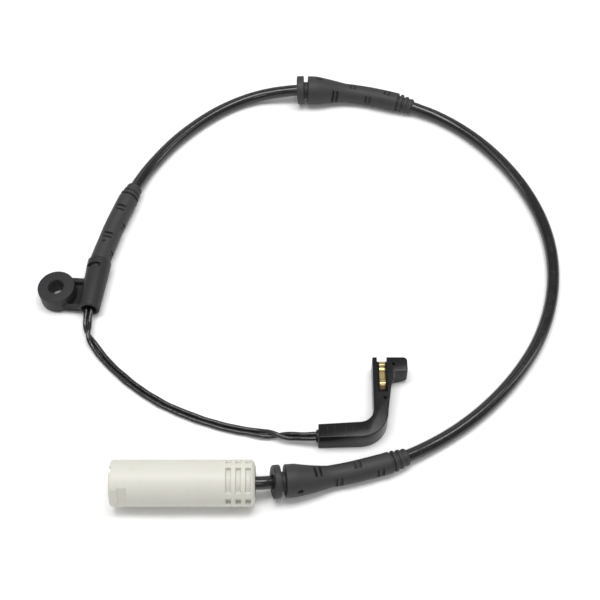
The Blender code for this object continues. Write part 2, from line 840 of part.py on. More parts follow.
def make_grommet(name, route, at, way, turn):
    flange_r = FLANGE_D / 2
    neck_r = NECK_D / 2
    shoulder_r = SHOULDER_D / 2
    body_r = BODY_D / 2
    taper_end = TAPER_START + TAPER_LENGTH
    outer = [
        (0, flange_r - EDGE),
        (EDGE, flange_r),
        (FLANGE_WIDTH - EDGE, flange_r),
        (FLANGE_WIDTH, flange_r - EDGE),
        (FLANGE_WIDTH, neck_r),
        (SHOULDER_START, neck_r),
        (SHOULDER_START, shoulder_r - EDGE),
        (SHOULDER_START + EDGE, shoulder_r),
        *run((TAPER_START, shoulder_r), (taper_end, body_r)),
        *run((taper_end, body_r), (GROMMET_BODY_END - EDGE, body_r)),
        (GROMMET_BODY_END - EDGE, body_r),
        (GROMMET_BODY_END, body_r - EDGE),
        *rib_line(GROMMET_BODY_END),
    ]
    grommet = turned(name, outer + bore_line(0, GROMMET_LENGTH, CABLE_BORE_R), BLACK_RUBBER)
    places = []
    for number in range(POCKET_COUNT):
        middle = FIRST_POCKET + number * GROMMET_POCKET_PITCH
        places.append((middle, taper_radius(middle)))
    cut_pockets(grommet, places, turn)
    mark = dimple(DIMPLE_AT, taper_radius(DIMPLE_AT), turn + math.pi / 2)
    boolean(grommet, joined(name + " dimple", [mark]), "DIFFERENCE")
    bend(bake(grommet), route, at, way)
    shade(grommet)


def make_boot(route, mouth):
    """The boot from its tail in the sleeve to its ribs, laid against the cable's way."""
    body_r = BODY_D / 2
    start = -TAIL_LENGTH
    outer = [
        (start, TAIL_D / 2 - EDGE),
        (start + EDGE, TAIL_D / 2),
        (FIT, TAIL_D / 2),
        (FIT, body_r - EDGE),
        *run((FIT + EDGE, body_r), (BOOT_BODY - EDGE, body_r)),
        (BOOT_BODY - EDGE, body_r),
        (BOOT_BODY, body_r - EDGE),
        *rib_line(BOOT_BODY),
    ]
    bore = bore_line(start, BOOT_BODY + RIBS_LENGTH, CABLE_BORE_R)
    boot = turned("cable_boot", outer + bore, BLACK_RUBBER)
    middles = [BOOT_FIRST_POCKET + number * BOOT_POCKET_PITCH for number in range(POCKET_COUNT)]
    cut_pockets(boot, [(middle, body_r) for middle in middles], math.pi / 2)
    bend(bake(boot), route, mouth, -1)
    shade(boot)


# Eyelet holder

def upright(obj, x, y, z):
    """Stands a piece made along X on end, its origin at a place."""
    obj.data.transform(Matrix.Translation((x, y, z)) @ Matrix.Rotation(-math.pi / 2, 4, "Y"))
    return obj


def window_cutter(number):
    """A flat cut across the sleeve's wall, over the boot's tail."""
    depth = SLEEVE_R * math.cos(WINDOW_SPREAD)
    cutter = block(
        "sleeve window",
        (WINDOW_AT - WINDOW_WIDTH / 2, -SLEEVE_D, depth),
        (WINDOW_AT + WINDOW_WIDTH / 2, SLEEVE_D, SLEEVE_D),
    )
    cutter.data.transform(Matrix.Rotation(WINDOW_TURN + number * math.pi, 4, "X"))
    return cutter


def make_web(low):
    """The web between the sleeve and the ring, cored out from above to a thin floor within rims."""
    web = block("web", (WEB_FAR, -EYELET_ASIDE, low), (WEB_NEAR, 0, low + WEB_THICKNESS))
    core = block(
        "web coring",
        (WEB_FAR + WEB_FAR_RIM, -CORING_END, low + WEB_FLOOR),
        (WEB_NEAR - WEB_NEAR_RIM, -CORING_START, low + 2 * WEB_THICKNESS),
    )
    boolean(web, core, "DIFFERENCE")
    return bake(web)


def make_holder():
    edge = SLEEVE_CHAMFER
    holder = turned(
        "eyelet_holder",
        [
            (0, 0),
            (0, SLEEVE_R - edge),
            (edge, SLEEVE_R),
            (SLEEVE_LENGTH - edge, SLEEVE_END_D / 2),
            (SLEEVE_LENGTH, SLEEVE_END_D / 2 - edge),
            (SLEEVE_LENGTH, 0),
        ],
        BLACK_PLASTIC,
        32,
        closed=False,
    )
    bottom = -EYELET_DROP
    top = bottom + EYELET_HEIGHT
    ring_r = EYELET_D / 2
    ring = turned(
        "eyelet",
        [
            (0, 0),
            (0, ring_r - EDGE),
            (EDGE, ring_r),
            (EYELET_HEIGHT - EDGE, ring_r),
            (EYELET_HEIGHT, ring_r - EDGE),
            (EYELET_HEIGHT, 0),
        ],
        steps=40,
        closed=False,
    )
    upright(ring, EYELET_ALONG, -EYELET_ASIDE, bottom)
    boolean(holder, ring, "UNION")
    boolean(holder, make_web(bottom + EDGE), "UNION")
    seat = TAIL_LENGTH + FIT
    bore = turned(
        "sleeve bore",
        [
            (-edge, 0),
            (-edge, TAIL_D / 2 + FIT),
            (seat, TAIL_D / 2 + FIT),
            (seat, SLEEVE_BORE_D / 2),
            (SLEEVE_LENGTH - edge, SLEEVE_BORE_D / 2),
            (SLEEVE_LENGTH + edge, SLEEVE_BORE_D / 2 + 0.6 * edge),
            (SLEEVE_LENGTH + edge, 0),
        ],
        closed=False,
    )
    boolean(holder, bore, "DIFFERENCE")
    hole = turned(
        "eyelet hole",
        [
            (-EDGE, 0),
            (-EDGE, EYELET_HOLE_D / 2),
            (EYELET_HEIGHT + EDGE, EYELET_HOLE_D / 2),
            (EYELET_HEIGHT + EDGE, 0),
        ],
        steps=32,
        closed=False,
    )
    boolean(holder, upright(hole, EYELET_ALONG, -EYELET_ASIDE, bottom), "DIFFERENCE")
    for number in range(2):
        boolean(holder, window_cutter(number), "DIFFERENCE")
    shade(bake(holder))
    holder.location = sleeve_point(0)
    holder.rotation_euler = (HOLDER_ROLL, 0, SLEEVE_YAW)


# Sensor head

def head_outline():
    """The head in plan, from its corner round the outer side, the wear block, the fork's end and back."""
    outer, inner = bend_centres()
    tip_x = BAR_LENGTH + ARM_TIP_WIDTH
    block_y = ARM_LENGTH - BLOCK_DEPTH
    end_x = tip_x + BLOCK_REACH
    fillet = BLOCK_FILLET
    corner = BLOCK_CORNER
    return [
        (0, 0),
        *arc(outer, BEND_WIDTH + BEND_RADIUS, -90, 0, 9),
        *arc((tip_x + fillet, block_y - fillet), fillet, 180, 90, 4),
        *arc((end_x - corner / 2, block_y + corner / 2), corner / 2, -90, 0, 2),
        *arc((end_x - corner, ARM_LENGTH - corner), corner, 0, 90, 3),
        (BAR_LENGTH, ARM_LENGTH),
        *arc(inner, BEND_RADIUS, 0, -90, 7),
        (0, BAR_WIDTH),
    ]


def channel_ring(half_width, half_height):
    """A flat section with cut corners, wide across Y and low in Z."""
    cut = half_height / 2
    return [
        (half_width, -half_height + cut),
        (half_width, half_height - cut),
        (half_width - cut, half_height),
        (-half_width + cut, half_height),
        (-half_width, half_height - cut),
        (-half_width, -half_height + cut),
        (-half_width + cut, -half_height),
        (half_width - cut, -half_height),
    ]


def head_cuts():
    """The fork's slot, its hook pocket, the wear block's sloped underside and two pin marks."""
    slot_x = BAR_LENGTH + FORK_WALL
    slot_y = ARM_LENGTH - SLOT_LENGTH
    over = SLOT_WIDTH
    slot = block(
        "fork slot",
        (slot_x, slot_y, SLOT_FLOOR),
        (slot_x + SLOT_WIDTH, ARM_LENGTH + over, HEAD_HEIGHT + over),
    )
    hook = block(
        "hook pocket",
        (slot_x + EDGE / 2, slot_y + EDGE, SLOT_FLOOR - HOOK_POCKET_DEPTH),
        (slot_x + SLOT_WIDTH - EDGE / 2, slot_y + EDGE + HOOK_POCKET_LENGTH, SLOT_FLOOR + EDGE),
    )
    end_x = BAR_LENGTH + ARM_TIP_WIDTH + BLOCK_REACH
    slope = [
        (end_x - BLOCK_SLOPE_LENGTH, -over),
        (end_x - BLOCK_SLOPE_LENGTH, 0),
        (end_x, BLOCK_SLOPE_RISE),
        (end_x + over, BLOCK_SLOPE_RISE),
        (end_x + over, -over),
    ]
    sides = (ARM_LENGTH - BLOCK_DEPTH - BLOCK_FILLET, ARM_LENGTH + over)
    underside = loft("block underside", [[(x, y, z) for x, z in slope] for y in sides])
    marks = []
    for x, y in (
        (BAR_LENGTH + ARM_TIP_WIDTH + PIN_MARK_D / 2, ARM_LENGTH - BLOCK_DEPTH / 2),
        (BAR_LENGTH + 0.8 * BEND_WIDTH, slot_y - 2 * PIN_MARK_D),
    ):
        mark_r = PIN_MARK_D / 2
        mark = turned(
            "pin mark",
            [(-PIN_MARK_DEPTH, 0), (-PIN_MARK_DEPTH, mark_r), (over, mark_r), (over, 0)],
            steps=12,
            closed=False,
        )
        marks.append(upright(mark, x, y, HEAD_HEIGHT))
    return [slot, hook, underside, *marks]


def make_head(route):
    head = plate("sensor_head", head_outline(), 0, HEAD_HEIGHT, BLACK_PLASTIC)
    bevel = head.modifiers.new("edges", "BEVEL")
    bevel.width = HEAD_EDGE
    bevel.segments = 1
    bevel.limit_method = "ANGLE"
    bevel.angle_limit = math.radians(40)
    half_width = (CORE_PITCH + CORE_D) / 2 + FIT
    half_height = CORE_D / 2 + FIT
    entry_y = BAR_WIDTH / 2
    entry_z = HEAD_HEIGHT / 2
    boss_ring = channel_ring(half_width + EDGE, half_height + EDGE)
    rings = [[(x, entry_y + y, entry_z + z) for y, z in boss_ring] for x in (-ENTRY_BOSS_LENGTH, EDGE)]
    boolean(head, loft("entry boss", rings), "UNION")
    for cutter in head_cuts():
        boolean(head, cutter, "DIFFERENCE")
    bake(head).location = (*HEAD_CORNER, 0)
    steps = 26
    last = route.length + FIT + LOOP_D / 2
    entry_end = ENTRY_BOSS_LENGTH + CORE_IN_HEAD + 1.5 * FIT
    wide = channel_ring(half_width, half_height)
    narrow = channel_ring((LOOP_PITCH + LOOP_D) / 2 + FIT, LOOP_D / 2 + FIT)
    narrow_at = entry_end + EDGE
    places = [(-EDGE, wide), (entry_end, wide)]
    places += [(narrow_at + (last - narrow_at) * i / steps, narrow) for i in range(steps + 1)]
    channel = loft("wire channel", [[(x, y, z) for y, z in ring] for x, ring in places])
    boolean(head, bend(channel, route, 0), "DIFFERENCE")
    shade(bake(head))


def make_loop(route):
    """One wire down the channel, round a tight bend at the wear block's end, and back."""
    start = ENTRY_BOSS_LENGTH + CORE_IN_HEAD + 2 * FIT
    half = LOOP_PITCH / 2
    end = route.length - half
    count = math.ceil((end - start) / CORE_STEP)
    legs = []
    for side in (1, -1):
        leg = []
        for i in range(count + 1):
            point, _, left, _ = route.frame(start + (end - start) * i / count)
            leg.append(point + left * (side * half))
        legs.append(leg)
    middle, along, left, _ = route.frame(end)
    turn = []
    for i in range(1, 6):
        angle = math.pi * i / 6
        turn.append(middle + (left * math.cos(angle) + along * math.sin(angle)) * half)
    tube("wear_loop", legs[0] + turn + legs[1][::-1], LOOP_D, BRASS, 1)


def make_clip():
    """A leaf of brass strip in the fork: its tail hooked down, then two crests with a dip between."""
    path = [
        (0.00145, -0.0008),
        (0.00175, 0.0),
        (0.00265, 0.0004),
        (0.00445, CLIP_CREST),
        (0.00735, 0.0011),
        (0.01165, 0.0008),
        (0.01245, CLIP_REAR_CREST),
        (0.01425, 0.0004),
    ]
    middle_x = BAR_LENGTH + FORK_WALL + SLOT_WIDTH / 2 + CLIP_SHIFT
    slot_y = ARM_LENGTH - SLOT_LENGTH
    route = Route([head_point(middle_x, slot_y + along, SLOT_FLOOR + rise) for along, rise in path])
    bm = bmesh.new()
    rows = []
    for point in route.read(0, route.length, 0.0006):
        rows.append([bm.verts.new((point.x + side * CLIP_WIDTH / 2, point.y, point.z)) for side in (-1, 1)])
    for lower, upper in zip(rows, rows[1:]):
        bm.faces.new((lower[0], lower[1], upper[1], upper[0]))
    mesh = bpy.data.meshes.new("spring_clip")
    bm.to_mesh(mesh)
    bm.free()
    clip = add_object("spring_clip", mesh, BRASS)
    strip = clip.modifiers.new("thickness", "SOLIDIFY")
    strip.thickness = CLIP_THICKNESS
    strip.offset = 0
    shade(clip)


def make_cores(route):
    """The two bare cores side by side, crossing where the pair twists."""
    for number, side in enumerate((1, -1), start=1):
        count = math.ceil(route.length / CORE_STEP)
        points = []
        for i in range(count + 1):
            distance = route.length * i / count
            point, _, left, up = route.frame(distance)
            angle = twist(distance)
            points.append(point + (left * math.cos(angle) + up * math.sin(angle)) * (side * CORE_PITCH / 2))
        tube(f"lead_core_{number}", points, CORE_D, CORE_SLEEVING)


def main():
    cable = cable_route()
    loop = loop_route()
    tube("jacketed_cable", cable.read(0, cable.length, CABLE_STEP), CABLE_D, CABLE_JACKET)
    make_housing()
    make_carrier()
    make_contacts()
    make_plug_cores()
    make_seal()
    lower_at = JACKET_IN_PLUG + STUB_LENGTH
    upper_at = lower_at + GROMMET_LENGTH + RIGHT_RUN + GROMMET_LENGTH
    make_grommet("grommet_lower", cable, lower_at, 1, GROMMET_TURN)
    make_grommet("grommet_upper", cable, upper_at, -1, GROMMET_TURN + 3 * math.pi / 2)
    make_boot(cable, cable.length - JACKET_IN_SLEEVE)
    make_holder()
    make_cores(core_route())
    make_head(loop)
    make_loop(loop)
    make_clip()


main()
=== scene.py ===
"""Brake pad wear sensor on its harness, lying in one open loop on a pale floor.

Metres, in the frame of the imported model, with +Z up and the floor at z = 0.
"""

import bisect
import math

import bmesh
import bpy
from mathutils import Matrix, Vector


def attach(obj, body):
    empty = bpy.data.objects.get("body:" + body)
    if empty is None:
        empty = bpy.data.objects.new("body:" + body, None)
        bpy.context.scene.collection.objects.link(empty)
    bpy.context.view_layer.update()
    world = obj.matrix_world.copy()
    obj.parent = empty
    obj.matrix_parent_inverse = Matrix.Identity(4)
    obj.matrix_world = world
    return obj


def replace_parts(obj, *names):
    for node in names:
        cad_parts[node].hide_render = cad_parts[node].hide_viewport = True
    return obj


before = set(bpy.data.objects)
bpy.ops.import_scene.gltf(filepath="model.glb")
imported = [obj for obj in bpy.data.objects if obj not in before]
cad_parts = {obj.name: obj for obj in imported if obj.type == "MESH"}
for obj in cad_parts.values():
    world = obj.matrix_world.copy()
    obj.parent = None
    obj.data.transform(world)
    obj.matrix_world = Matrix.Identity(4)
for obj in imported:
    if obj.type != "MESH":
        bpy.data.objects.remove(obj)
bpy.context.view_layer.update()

# Camera: a long lens a little over half a metre off, which looks down on the harness at 57 degrees.
camera = bpy.data.objects.new("camera", bpy.data.cameras.new("camera"))
bpy.context.scene.collection.objects.link(camera)
bpy.context.scene.camera = camera
camera.data.sensor_width = 36
camera.data.lens = 81.42
camera.data.clip_start = 0.02
camera.location = (0.0256, -0.2968, 0.4428)
loop_middle = Vector((0.0256, -0.0092, 0.0))
camera.rotation_euler = (loop_middle - camera.location).to_track_quat("-Z", "Y").to_euler()

# Jacketed cable: two cores in a smooth, glossy black jacket, extruded round them. It runs from the plug
# through both grommets and the boot, and its end is held in the eyelet holder's sleeve.
cable_d = 0.0048
plug_rear = Vector((0.0100, -0.0912, 0.00825))
cable_in_plug = 0.0125
sleeve_mouth = Vector((-0.0529, 0.0054, 0.00465))
sleeve_yaw = math.radians(-96.3)
sleeve_l = 0.0221
cable_in_sleeve = 0.0100
fit = 0.0003
cable_points = (
    (0.0150, -0.0905, 0.0074),
    (0.0221, -0.0895, 0.0065),
    (0.0291, -0.0884, 0.0054),
    (0.0363, -0.0868, 0.0044),
    (0.0434, -0.0852, 0.0041),
    (0.0506, -0.0833, 0.0041),
    (0.0578, -0.0811, 0.0040),
    (0.0634, -0.0788, 0.0036),
    (0.0735, -0.0734, 0.0027),
    (0.0811, -0.0686, 0.0025),
    (0.0907, -0.0612, 0.0025),
    (0.0989, -0.0533, 0.0025),
    (0.1077, -0.0427, 0.0025),
    (0.1150, -0.0313, 0.0025),
    (0.1208, -0.0178, 0.0025),
    (0.1242, -0.0037, 0.0025),
    (0.1251, 0.0104, 0.0025),
    (0.1235, 0.0243, 0.0025),
    (0.1187, 0.0398, 0.0025),
    (0.1105, 0.0552, 0.0025),
    (0.1000, 0.0685, 0.0025),
    (0.0882, 0.0788, 0.0025),
    (0.0821, 0.0825, 0.0028),
    (0.0765, 0.0850, 0.0032),
    (0.0702, 0.0874, 0.0038),
    (0.0612, 0.0903, 0.0040),
    (0.0512, 0.0928, 0.0040),
    (0.0410, 0.0936, 0.0049),
    (0.0333, 0.0935, 0.0059),
    (0.0246, 0.0935, 0.0061),
    (0.0170, 0.0936, 0.0049),
    (0.0085, 0.0929, 0.0033),
    (-0.0021, 0.0889, 0.0025),
    (-0.0105, 0.0835, 0.0025),
    (-0.0188, 0.0764, 0.0025),
    (-0.0260, 0.0688, 0.0025),
    (-0.0328, 0.0597, 0.0025),
    (-0.0376, 0.0518, 0.0028),
    (-0.0413, 0.0436, 0.0036),
    (-0.0439, 0.0368, 0.0041),
    (-0.0464, 0.0295, 0.0041),
    (-0.0487, 0.0225, 0.0041),
    (-0.0506, 0.0150, 0.0043),
)


class Way:
    """A smooth line through chosen points, read by the distance along it."""

    def __init__(self, points):
        knots = [Vector(point) for point in points]
        gaps = [(b - a).length for a, b in zip(knots, knots[1:])]
        chords = [(b - a) / gap for a, b, gap in zip(knots, knots[1:], gaps)]
        slopes = [chords[0]]
        for i in range(1, len(gaps)):
            slopes.append(chords[i].lerp(chords[i - 1], gaps[i] / (gaps[i - 1] + gaps[i])))
        slopes.append(chords[-1])
        self.points = [knots[0]]
        for i, gap in enumerate(gaps):
            for step in range(1, 17):
                u = step / 16
                near = knots[i] * (1 + 2 * u) + slopes[i] * (gap * u)
                far = knots[i + 1] * (3 - 2 * u) - slopes[i + 1] * (gap * (1 - u))
                self.points.append(near * (1 - u) ** 2 + far * u**2)
        self.marks = [0.0]
        for a, b in zip(self.points, self.points[1:]):
            self.marks.append(self.marks[-1] + (b - a).length)
        self.length = self.marks[-1]

    def at(self, distance):
        """The point there, and the directions to its left and up."""
        low = min(max(bisect.bisect_right(self.marks, distance) - 1, 0), len(self.marks) - 2)
        a, b = self.points[low], self.points[low + 1]
        share = (distance - self.marks[low]) / (self.marks[low + 1] - self.marks[low])
        along = (b - a).normalized()
        left = Vector((0, 0, 1)).cross(along).normalized()
        return a.lerp(b, share), left, along.cross(left)


def line_object(name, points, thickness=0.0, roundness=6):
    """A curve of one open spline, with round thickness where it is a cord."""
    curve = bpy.data.curves.new(name, "CURVE")
    curve.dimensions = "3D"
    curve.bevel_depth = thickness / 2
    curve.bevel_resolution = roundness
    curve.use_fill_caps = True
    spline = curve.splines.new("POLY")
    spline.points.add(len(points) - 1)
    for place, point in zip(spline.points, points):
        place.co = (*point, 1.0)
    obj = bpy.data.objects.new(name, curve)
    bpy.context.scene.collection.objects.link(obj)
    return obj


class Socket:
    """A number that a material's nodes give. Python's operators on it add Math nodes."""

    def __init__(self, finish, socket):
        self.finish = finish
        self.socket = socket

    def maths(self, operation, *others):
        numbers = dict(enumerate((self, *others)))
        return self.finish.node("Math", {"operation": operation}, numbers)

    def __add__(self, other):
        return self.maths("ADD", other)

    __radd__ = __add__

    def __mul__(self, other):
        return self.maths("MULTIPLY", other)

    __rmul__ = __mul__

    def __sub__(self, other):
        return self.maths("SUBTRACT", other)

    def __rsub__(self, other):
        return (self * -1) + other

    def clamped(self):
        clamp = self.maths("ADD", 0.0)
        clamp.socket.node.use_clamp = True
        return clamp


class Finish:
    """A material built on one Principled shader, from Object coordinates."""

    def __init__(self, name, **values):
        self.material = bpy.data.materials.new(name)
        self.material.use_nodes = True
        self.tree = self.material.node_tree
        self.shader = self.tree.nodes["Principled BSDF"]
        self.place = self.node("TexCoord", {}, {}, "Object")
        self.feed(self.shader, values)

    def feed(self, node, values):
        for name, value in values.items():
            socket = node.inputs[name.replace("_", " ") if isinstance(name, str) else name]
            if isinstance(value, Socket):
                self.tree.links.new(value.socket, socket)
            elif socket.type == "RGBA":
                socket.default_value = (*value, 1.0)
            else:
                socket.default_value = value

    def node(self, kind, settings=None, values=None, output=0):
        """Any node: its settings first, then the values or links of its sockets."""
        node = self.tree.nodes.new("ShaderNode" + kind)
        for name, value in (settings or {}).items():
            if name == "stops":
                ramp = node.color_ramp.elements
                while len(ramp) < len(value):
                    ramp.new(0.5)
                for stop, (position, level) in zip(ramp, value):
                    stop.position = position
                    stop.color = (level, level, level, 1.0)
            else:
                setattr(node, name, value)
        self.feed(node, values or {})
        return Socket(self, node.outputs[output])

    def noise(self, scale, detail=3.0, roughness=0.5, stretch=None):
        """Noise of so many cells in a metre, stretched along an axis where a stretch is given."""
        place = self.place
        if stretch:
            place = self.node("Mapping", {}, {"Vector": place, "Scale": stretch})
        return self.node(
            "TexNoise",
            {"noise_dimensions": "3D"},
            {"Vector": place, "Scale": scale, "Detail": detail, "Roughness": roughness},
            "Fac",
        )

    def ramp(self, value, *stops):
        return self.node("ValToRGB", {"stops": stops}, {"Fac": value}, "Color")

    def mix(self, share, first, second):
        return self.node("Mix", {"data_type": "RGBA"}, {0: share, 6: first, 7: second}, 2)

    def bump(self, height, depth, strength=1.0):
        normal = self.node("Bump", {}, {"Height": height, "Distance": depth, "Strength": strength})
        self.feed(self.shader, {"Normal": normal})

    def show(self, **values):
        self.feed(self.shader, values)
        return self.material


def sleeve_point(distance):
    return sleeve_mouth + Vector((math.cos(sleeve_yaw), math.sin(sleeve_yaw), 0)) * distance


cable_way = Way(
    [
        *[plug_rear + Vector((back, 0, 0)) for back in (-cable_in_plug, -cable_in_plug / 2, 0, 0.0015)],
        *cable_points,
        *[sleeve_point(cable_in_sleeve * share) for share in (0, 0.5, 1)],
    ]
)
cable_steps = 260
cable_line = [cable_way.at(cable_way.length * i / cable_steps)[0] for i in range(cable_steps + 1)]
cable = line_object("cable", cable_line, cable_d, 8)

jacket = Finish("glossy cable jacket", Specular_IOR_Level=0.55)
jacket_wander = jacket.noise(95, 3, 0.55)
jacket_dust = jacket.ramp(jacket.noise(900, 4, 0.6), (0.52, 0), (0.80, 1))
jacket_rub = jacket.ramp(jacket.noise(260, 4, 0.65), (0.50, 0), (0.72, 1))
jacket.bump(jacket_wander + 0.05 * jacket.noise(1500, 2), 0.00035, 0.35)
cable.data.materials.append(
    jacket.show(
        Base_Color=jacket.mix(0.35 * jacket_dust, (0.008, 0.008, 0.009), (0.040, 0.040, 0.042)),
        Roughness=(0.20 + 0.10 * jacket_rub + 0.08 * jacket_dust).clamped(),
    )
)
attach(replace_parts(cable, "jacketed_cable"), "root")

# Bare cores: past the cable's end its two cores run side by side to the sensor head. Their sleeving is
# thin and glossy, and the pair lies a little wrinkled where it crosses over.
core_d = 0.0017
core_pitch = 0.00178
core_points = (
    (-0.0556, -0.0210, 0.0038),
    (-0.0549, -0.0266, 0.0026),
    (-0.0517, -0.0320, 0.0015),
    (-0.0470, -0.0378, 0.0010),
    (-0.0421, -0.0429, 0.0010),
    (-0.0367, -0.0477, 0.0010),
    (-0.0305, -0.0524, 0.0010),
    (-0.0233, -0.0568, 0.0010),
    (-0.0161, -0.0602, 0.0010),
    (-0.0090, -0.0630, 0.0010),
    (-0.0018, -0.0653, 0.0010),
    (0.0056, -0.0670, 0.0012),
    (0.0112, -0.0682, 0.0017),
    (0.0165, -0.0691, 0.0023),
    (0.0220, -0.0700, 0.0029),
    (0.0270, -0.0706, 0.0038),
)
core_twists = ((0.0165, 0.0110), (0.1020, 0.0130))
head_corner = Vector((0.0322, -0.07345, 0.0))
bar_w = 0.00545
head_h = 0.0086
entry_boss = 0.0008
core_in_head = 0.0020
core_steps = 160
first_in_sleeve = cable_in_sleeve + fit
bare_in_sleeve = sleeve_l - first_in_sleeve
core_way = Way(
    [
        *[sleeve_point(first_in_sleeve + bare_in_sleeve * share) for share in (0, 0.45, 0.9)],
        *core_points,
        *[head_corner + Vector((x, bar_w / 2, head_h / 2)) for x in (-entry_boss, core_in_head)],
    ]
)


def twist(distance):
    """How far the pair has turned there, half a turn at each crossing."""
    turned_so_far = 0.0
    for start, length in core_twists:
        share = min(max((distance - start) / length, 0.0), 1.0)
        turned_so_far += math.pi * share * share * (3 - 2 * share)
    return turned_so_far


sleeving = Finish("glossy core sleeving", Specular_IOR_Level=0.6)
sleeving_wrinkle = sleeving.noise(420, 3, 0.6)
sleeving.bump(sleeving_wrinkle, 0.00030, 0.6)
sleeving.show(
    Base_Color=sleeving.mix(0.4 * sleeving_wrinkle, (0.006, 0.006, 0.006), (0.022, 0.022, 0.023)),
    Roughness=(0.16 + 0.14 * sleeving.noise(700, 3)).clamped(),
)
for number, side in enumerate((1, -1), start=1):
    core_line = []
    for i in range(core_steps + 1):
        distance = core_way.length * i / core_steps
        point, left, up = core_way.at(distance)
        turn = twist(distance)
        wave = 0.00008 * math.sin(distance * 610 + side) * math.sin(distance * 173)
        spread = left * math.cos(turn) + up * math.sin(turn)
        core_line.append(point + spread * (side * core_pitch / 2) + left * wave)
    core = line_object(f"core_{number}", core_line, core_d, 5)
    core.data.materials.append(sleeving.material)
    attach(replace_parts(core, f"lead_core_{number}"), "root")

# Plug housing: one white moulding, round outside, with an open mouth. Near its cable end three rows of
# grip windows give the fingers a hold, and a stepped latch recess is cut into its rim.
housing_r = 0.00825
housing_l = 0.0508
cavity_r = 0.00635
cavity_depth = 0.0240
rear_bore_r = 0.0052
groove_w = 0.0018
groove_depth = 0.0013
groove_pitch = 0.00345
end_collar = 0.0015
grip_turn = math.radians(18.5)
grip_edges = [math.radians(degrees) for degrees in (32.5, 49.5, 70.5)]
latch_turn = math.radians(66)
latch_length = 0.0062
latch_step = 0.0030
rim_x = plug_rear.x - housing_l


def softened(corners):
    """The outline with a rounding at each corner that is given one, as its third number."""
    made = []
    for i, corner in enumerate(corners):
        here = Vector(corner[:2])
        if len(corner) == 2:
            made.append(here)
            continue
        before = Vector(corners[i - 1][:2]) - here
        after = Vector(corners[(i + 1) % len(corners)][:2]) - here
        start = here + before.normalized() * corner[2]
        end = here + after.normalized() * corner[2]
        for share in (0, 0.25, 0.5, 0.75, 1):
            made.append(start * (1 - share) ** 2 + here * (2 * share * (1 - share)) + end * share**2)
    return made


def around(steps):
    return [2 * math.pi * i / steps for i in range(steps)]


def mesh_object(name, bm, material, sharp=math.radians(38)):
    """The finished mesh as an object at the origin, with its faces out."""
    bmesh.ops.recalc_face_normals(bm, faces=bm.faces)
    mesh = bpy.data.meshes.new(name)
    bm.to_mesh(mesh)
    bm.free()
    mesh.materials.append(material)
    mesh.shade_smooth()
    mesh.set_sharp_from_angle(angle=sharp)
    obj = bpy.data.objects.new(name, mesh)
    bpy.context.scene.collection.objects.link(obj)
    return obj


def turned(name, outline, angles, material, limit=None, bore=True):
    """Turns an outline about X. limit gives the most that the radius may be at a distance and angle."""
    bm = bmesh.new()
    rings = []
    for x, radius in outline:
        ring = []
        for angle in angles:
            out = min(radius, limit(x, angle)) if limit else radius
            ring.append(bm.verts.new((x, -out * math.sin(angle), out * math.cos(angle))))
        rings.append(ring)
    pairs = list(zip(rings, rings[1:]))
    if bore:
        pairs.append((rings[-1], rings[0]))
    else:
        bm.faces.new(rings[0])
        bm.faces.new(rings[-1])
    for near, far in pairs:
        for i in range(len(angles)):
            j = (i + 1) % len(angles)
            bm.faces.new((near[i], near[j], far[j], far[i]))
    return mesh_object(name, bm, material)


def block(name, low, high, turn=0.0):
    """A block-shaped cutter, turned about X."""
    bm = bmesh.new()
    bmesh.ops.create_cube(bm, size=1.0)
    size = [b - a for a, b in zip(low, high)]
    middle = [(a + b) / 2 for a, b in zip(low, high)]
    bm.transform(Matrix.Rotation(turn, 4, "X") @ Matrix.Translation(middle) @ Matrix.Diagonal((*size, 1)))
    mesh = bpy.data.meshes.new(name)
    bm.to_mesh(mesh)
    bm.free()
    obj = bpy.data.objects.new(name, mesh)
    bpy.context.scene.collection.objects.link(obj)
    return obj


def boolean(obj, other, operation="DIFFERENCE"):
    modifier = obj.modifiers.new(other.name, "BOOLEAN")
    modifier.operation = operation
    modifier.solver = "EXACT"
    modifier.object = other
    return other


def rounded_edges(obj, width, segments=2, angle=math.radians(35)):
    bevel = obj.modifiers.new("rounded edges", "BEVEL")
    bevel.width = width
    bevel.segments = segments
    bevel.limit_method = "ANGLE"
    bevel.angle_limit = angle
    bevel.harden_normals = False


def finished(obj, helpers=(), sharp=math.radians(38)):
    """Gives the object the mesh that its modifiers make, and removes them and their helpers."""
    bpy.context.view_layer.update()
    graph = bpy.context.evaluated_depsgraph_get()
    mesh = bpy.data.meshes.new_from_object(obj.evaluated_get(graph), depsgraph=graph)
    obj.modifiers.clear()
    obj.data = mesh
    mesh.shade_smooth()
    mesh.set_sharp_from_angle(angle=sharp)
    for helper in helpers:
        bpy.data.objects.remove(helper)
    return obj


def moved(obj, *steps):
    """Applies the steps to the mesh, the first one first, so that the object stays at the origin."""
    for step in steps:
        obj.data.transform(step)
    return obj


def step_down(x, start, end, edge=0.00012):
    """1 between start and end, 0 outside, with a short rounded edge at both."""
    rise = min(max((x - start) / edge + 0.5, 0), 1) * min(max((end - x) / edge + 0.5, 0), 1)
    return rise * rise * (3 - 2 * rise)


grooves = []
for number in range(3):
    groove_end = housing_l - end_collar - number * groove_pitch
    grooves.append((groove_end - groove_w, groove_end))
window_edge = math.radians(1.2)


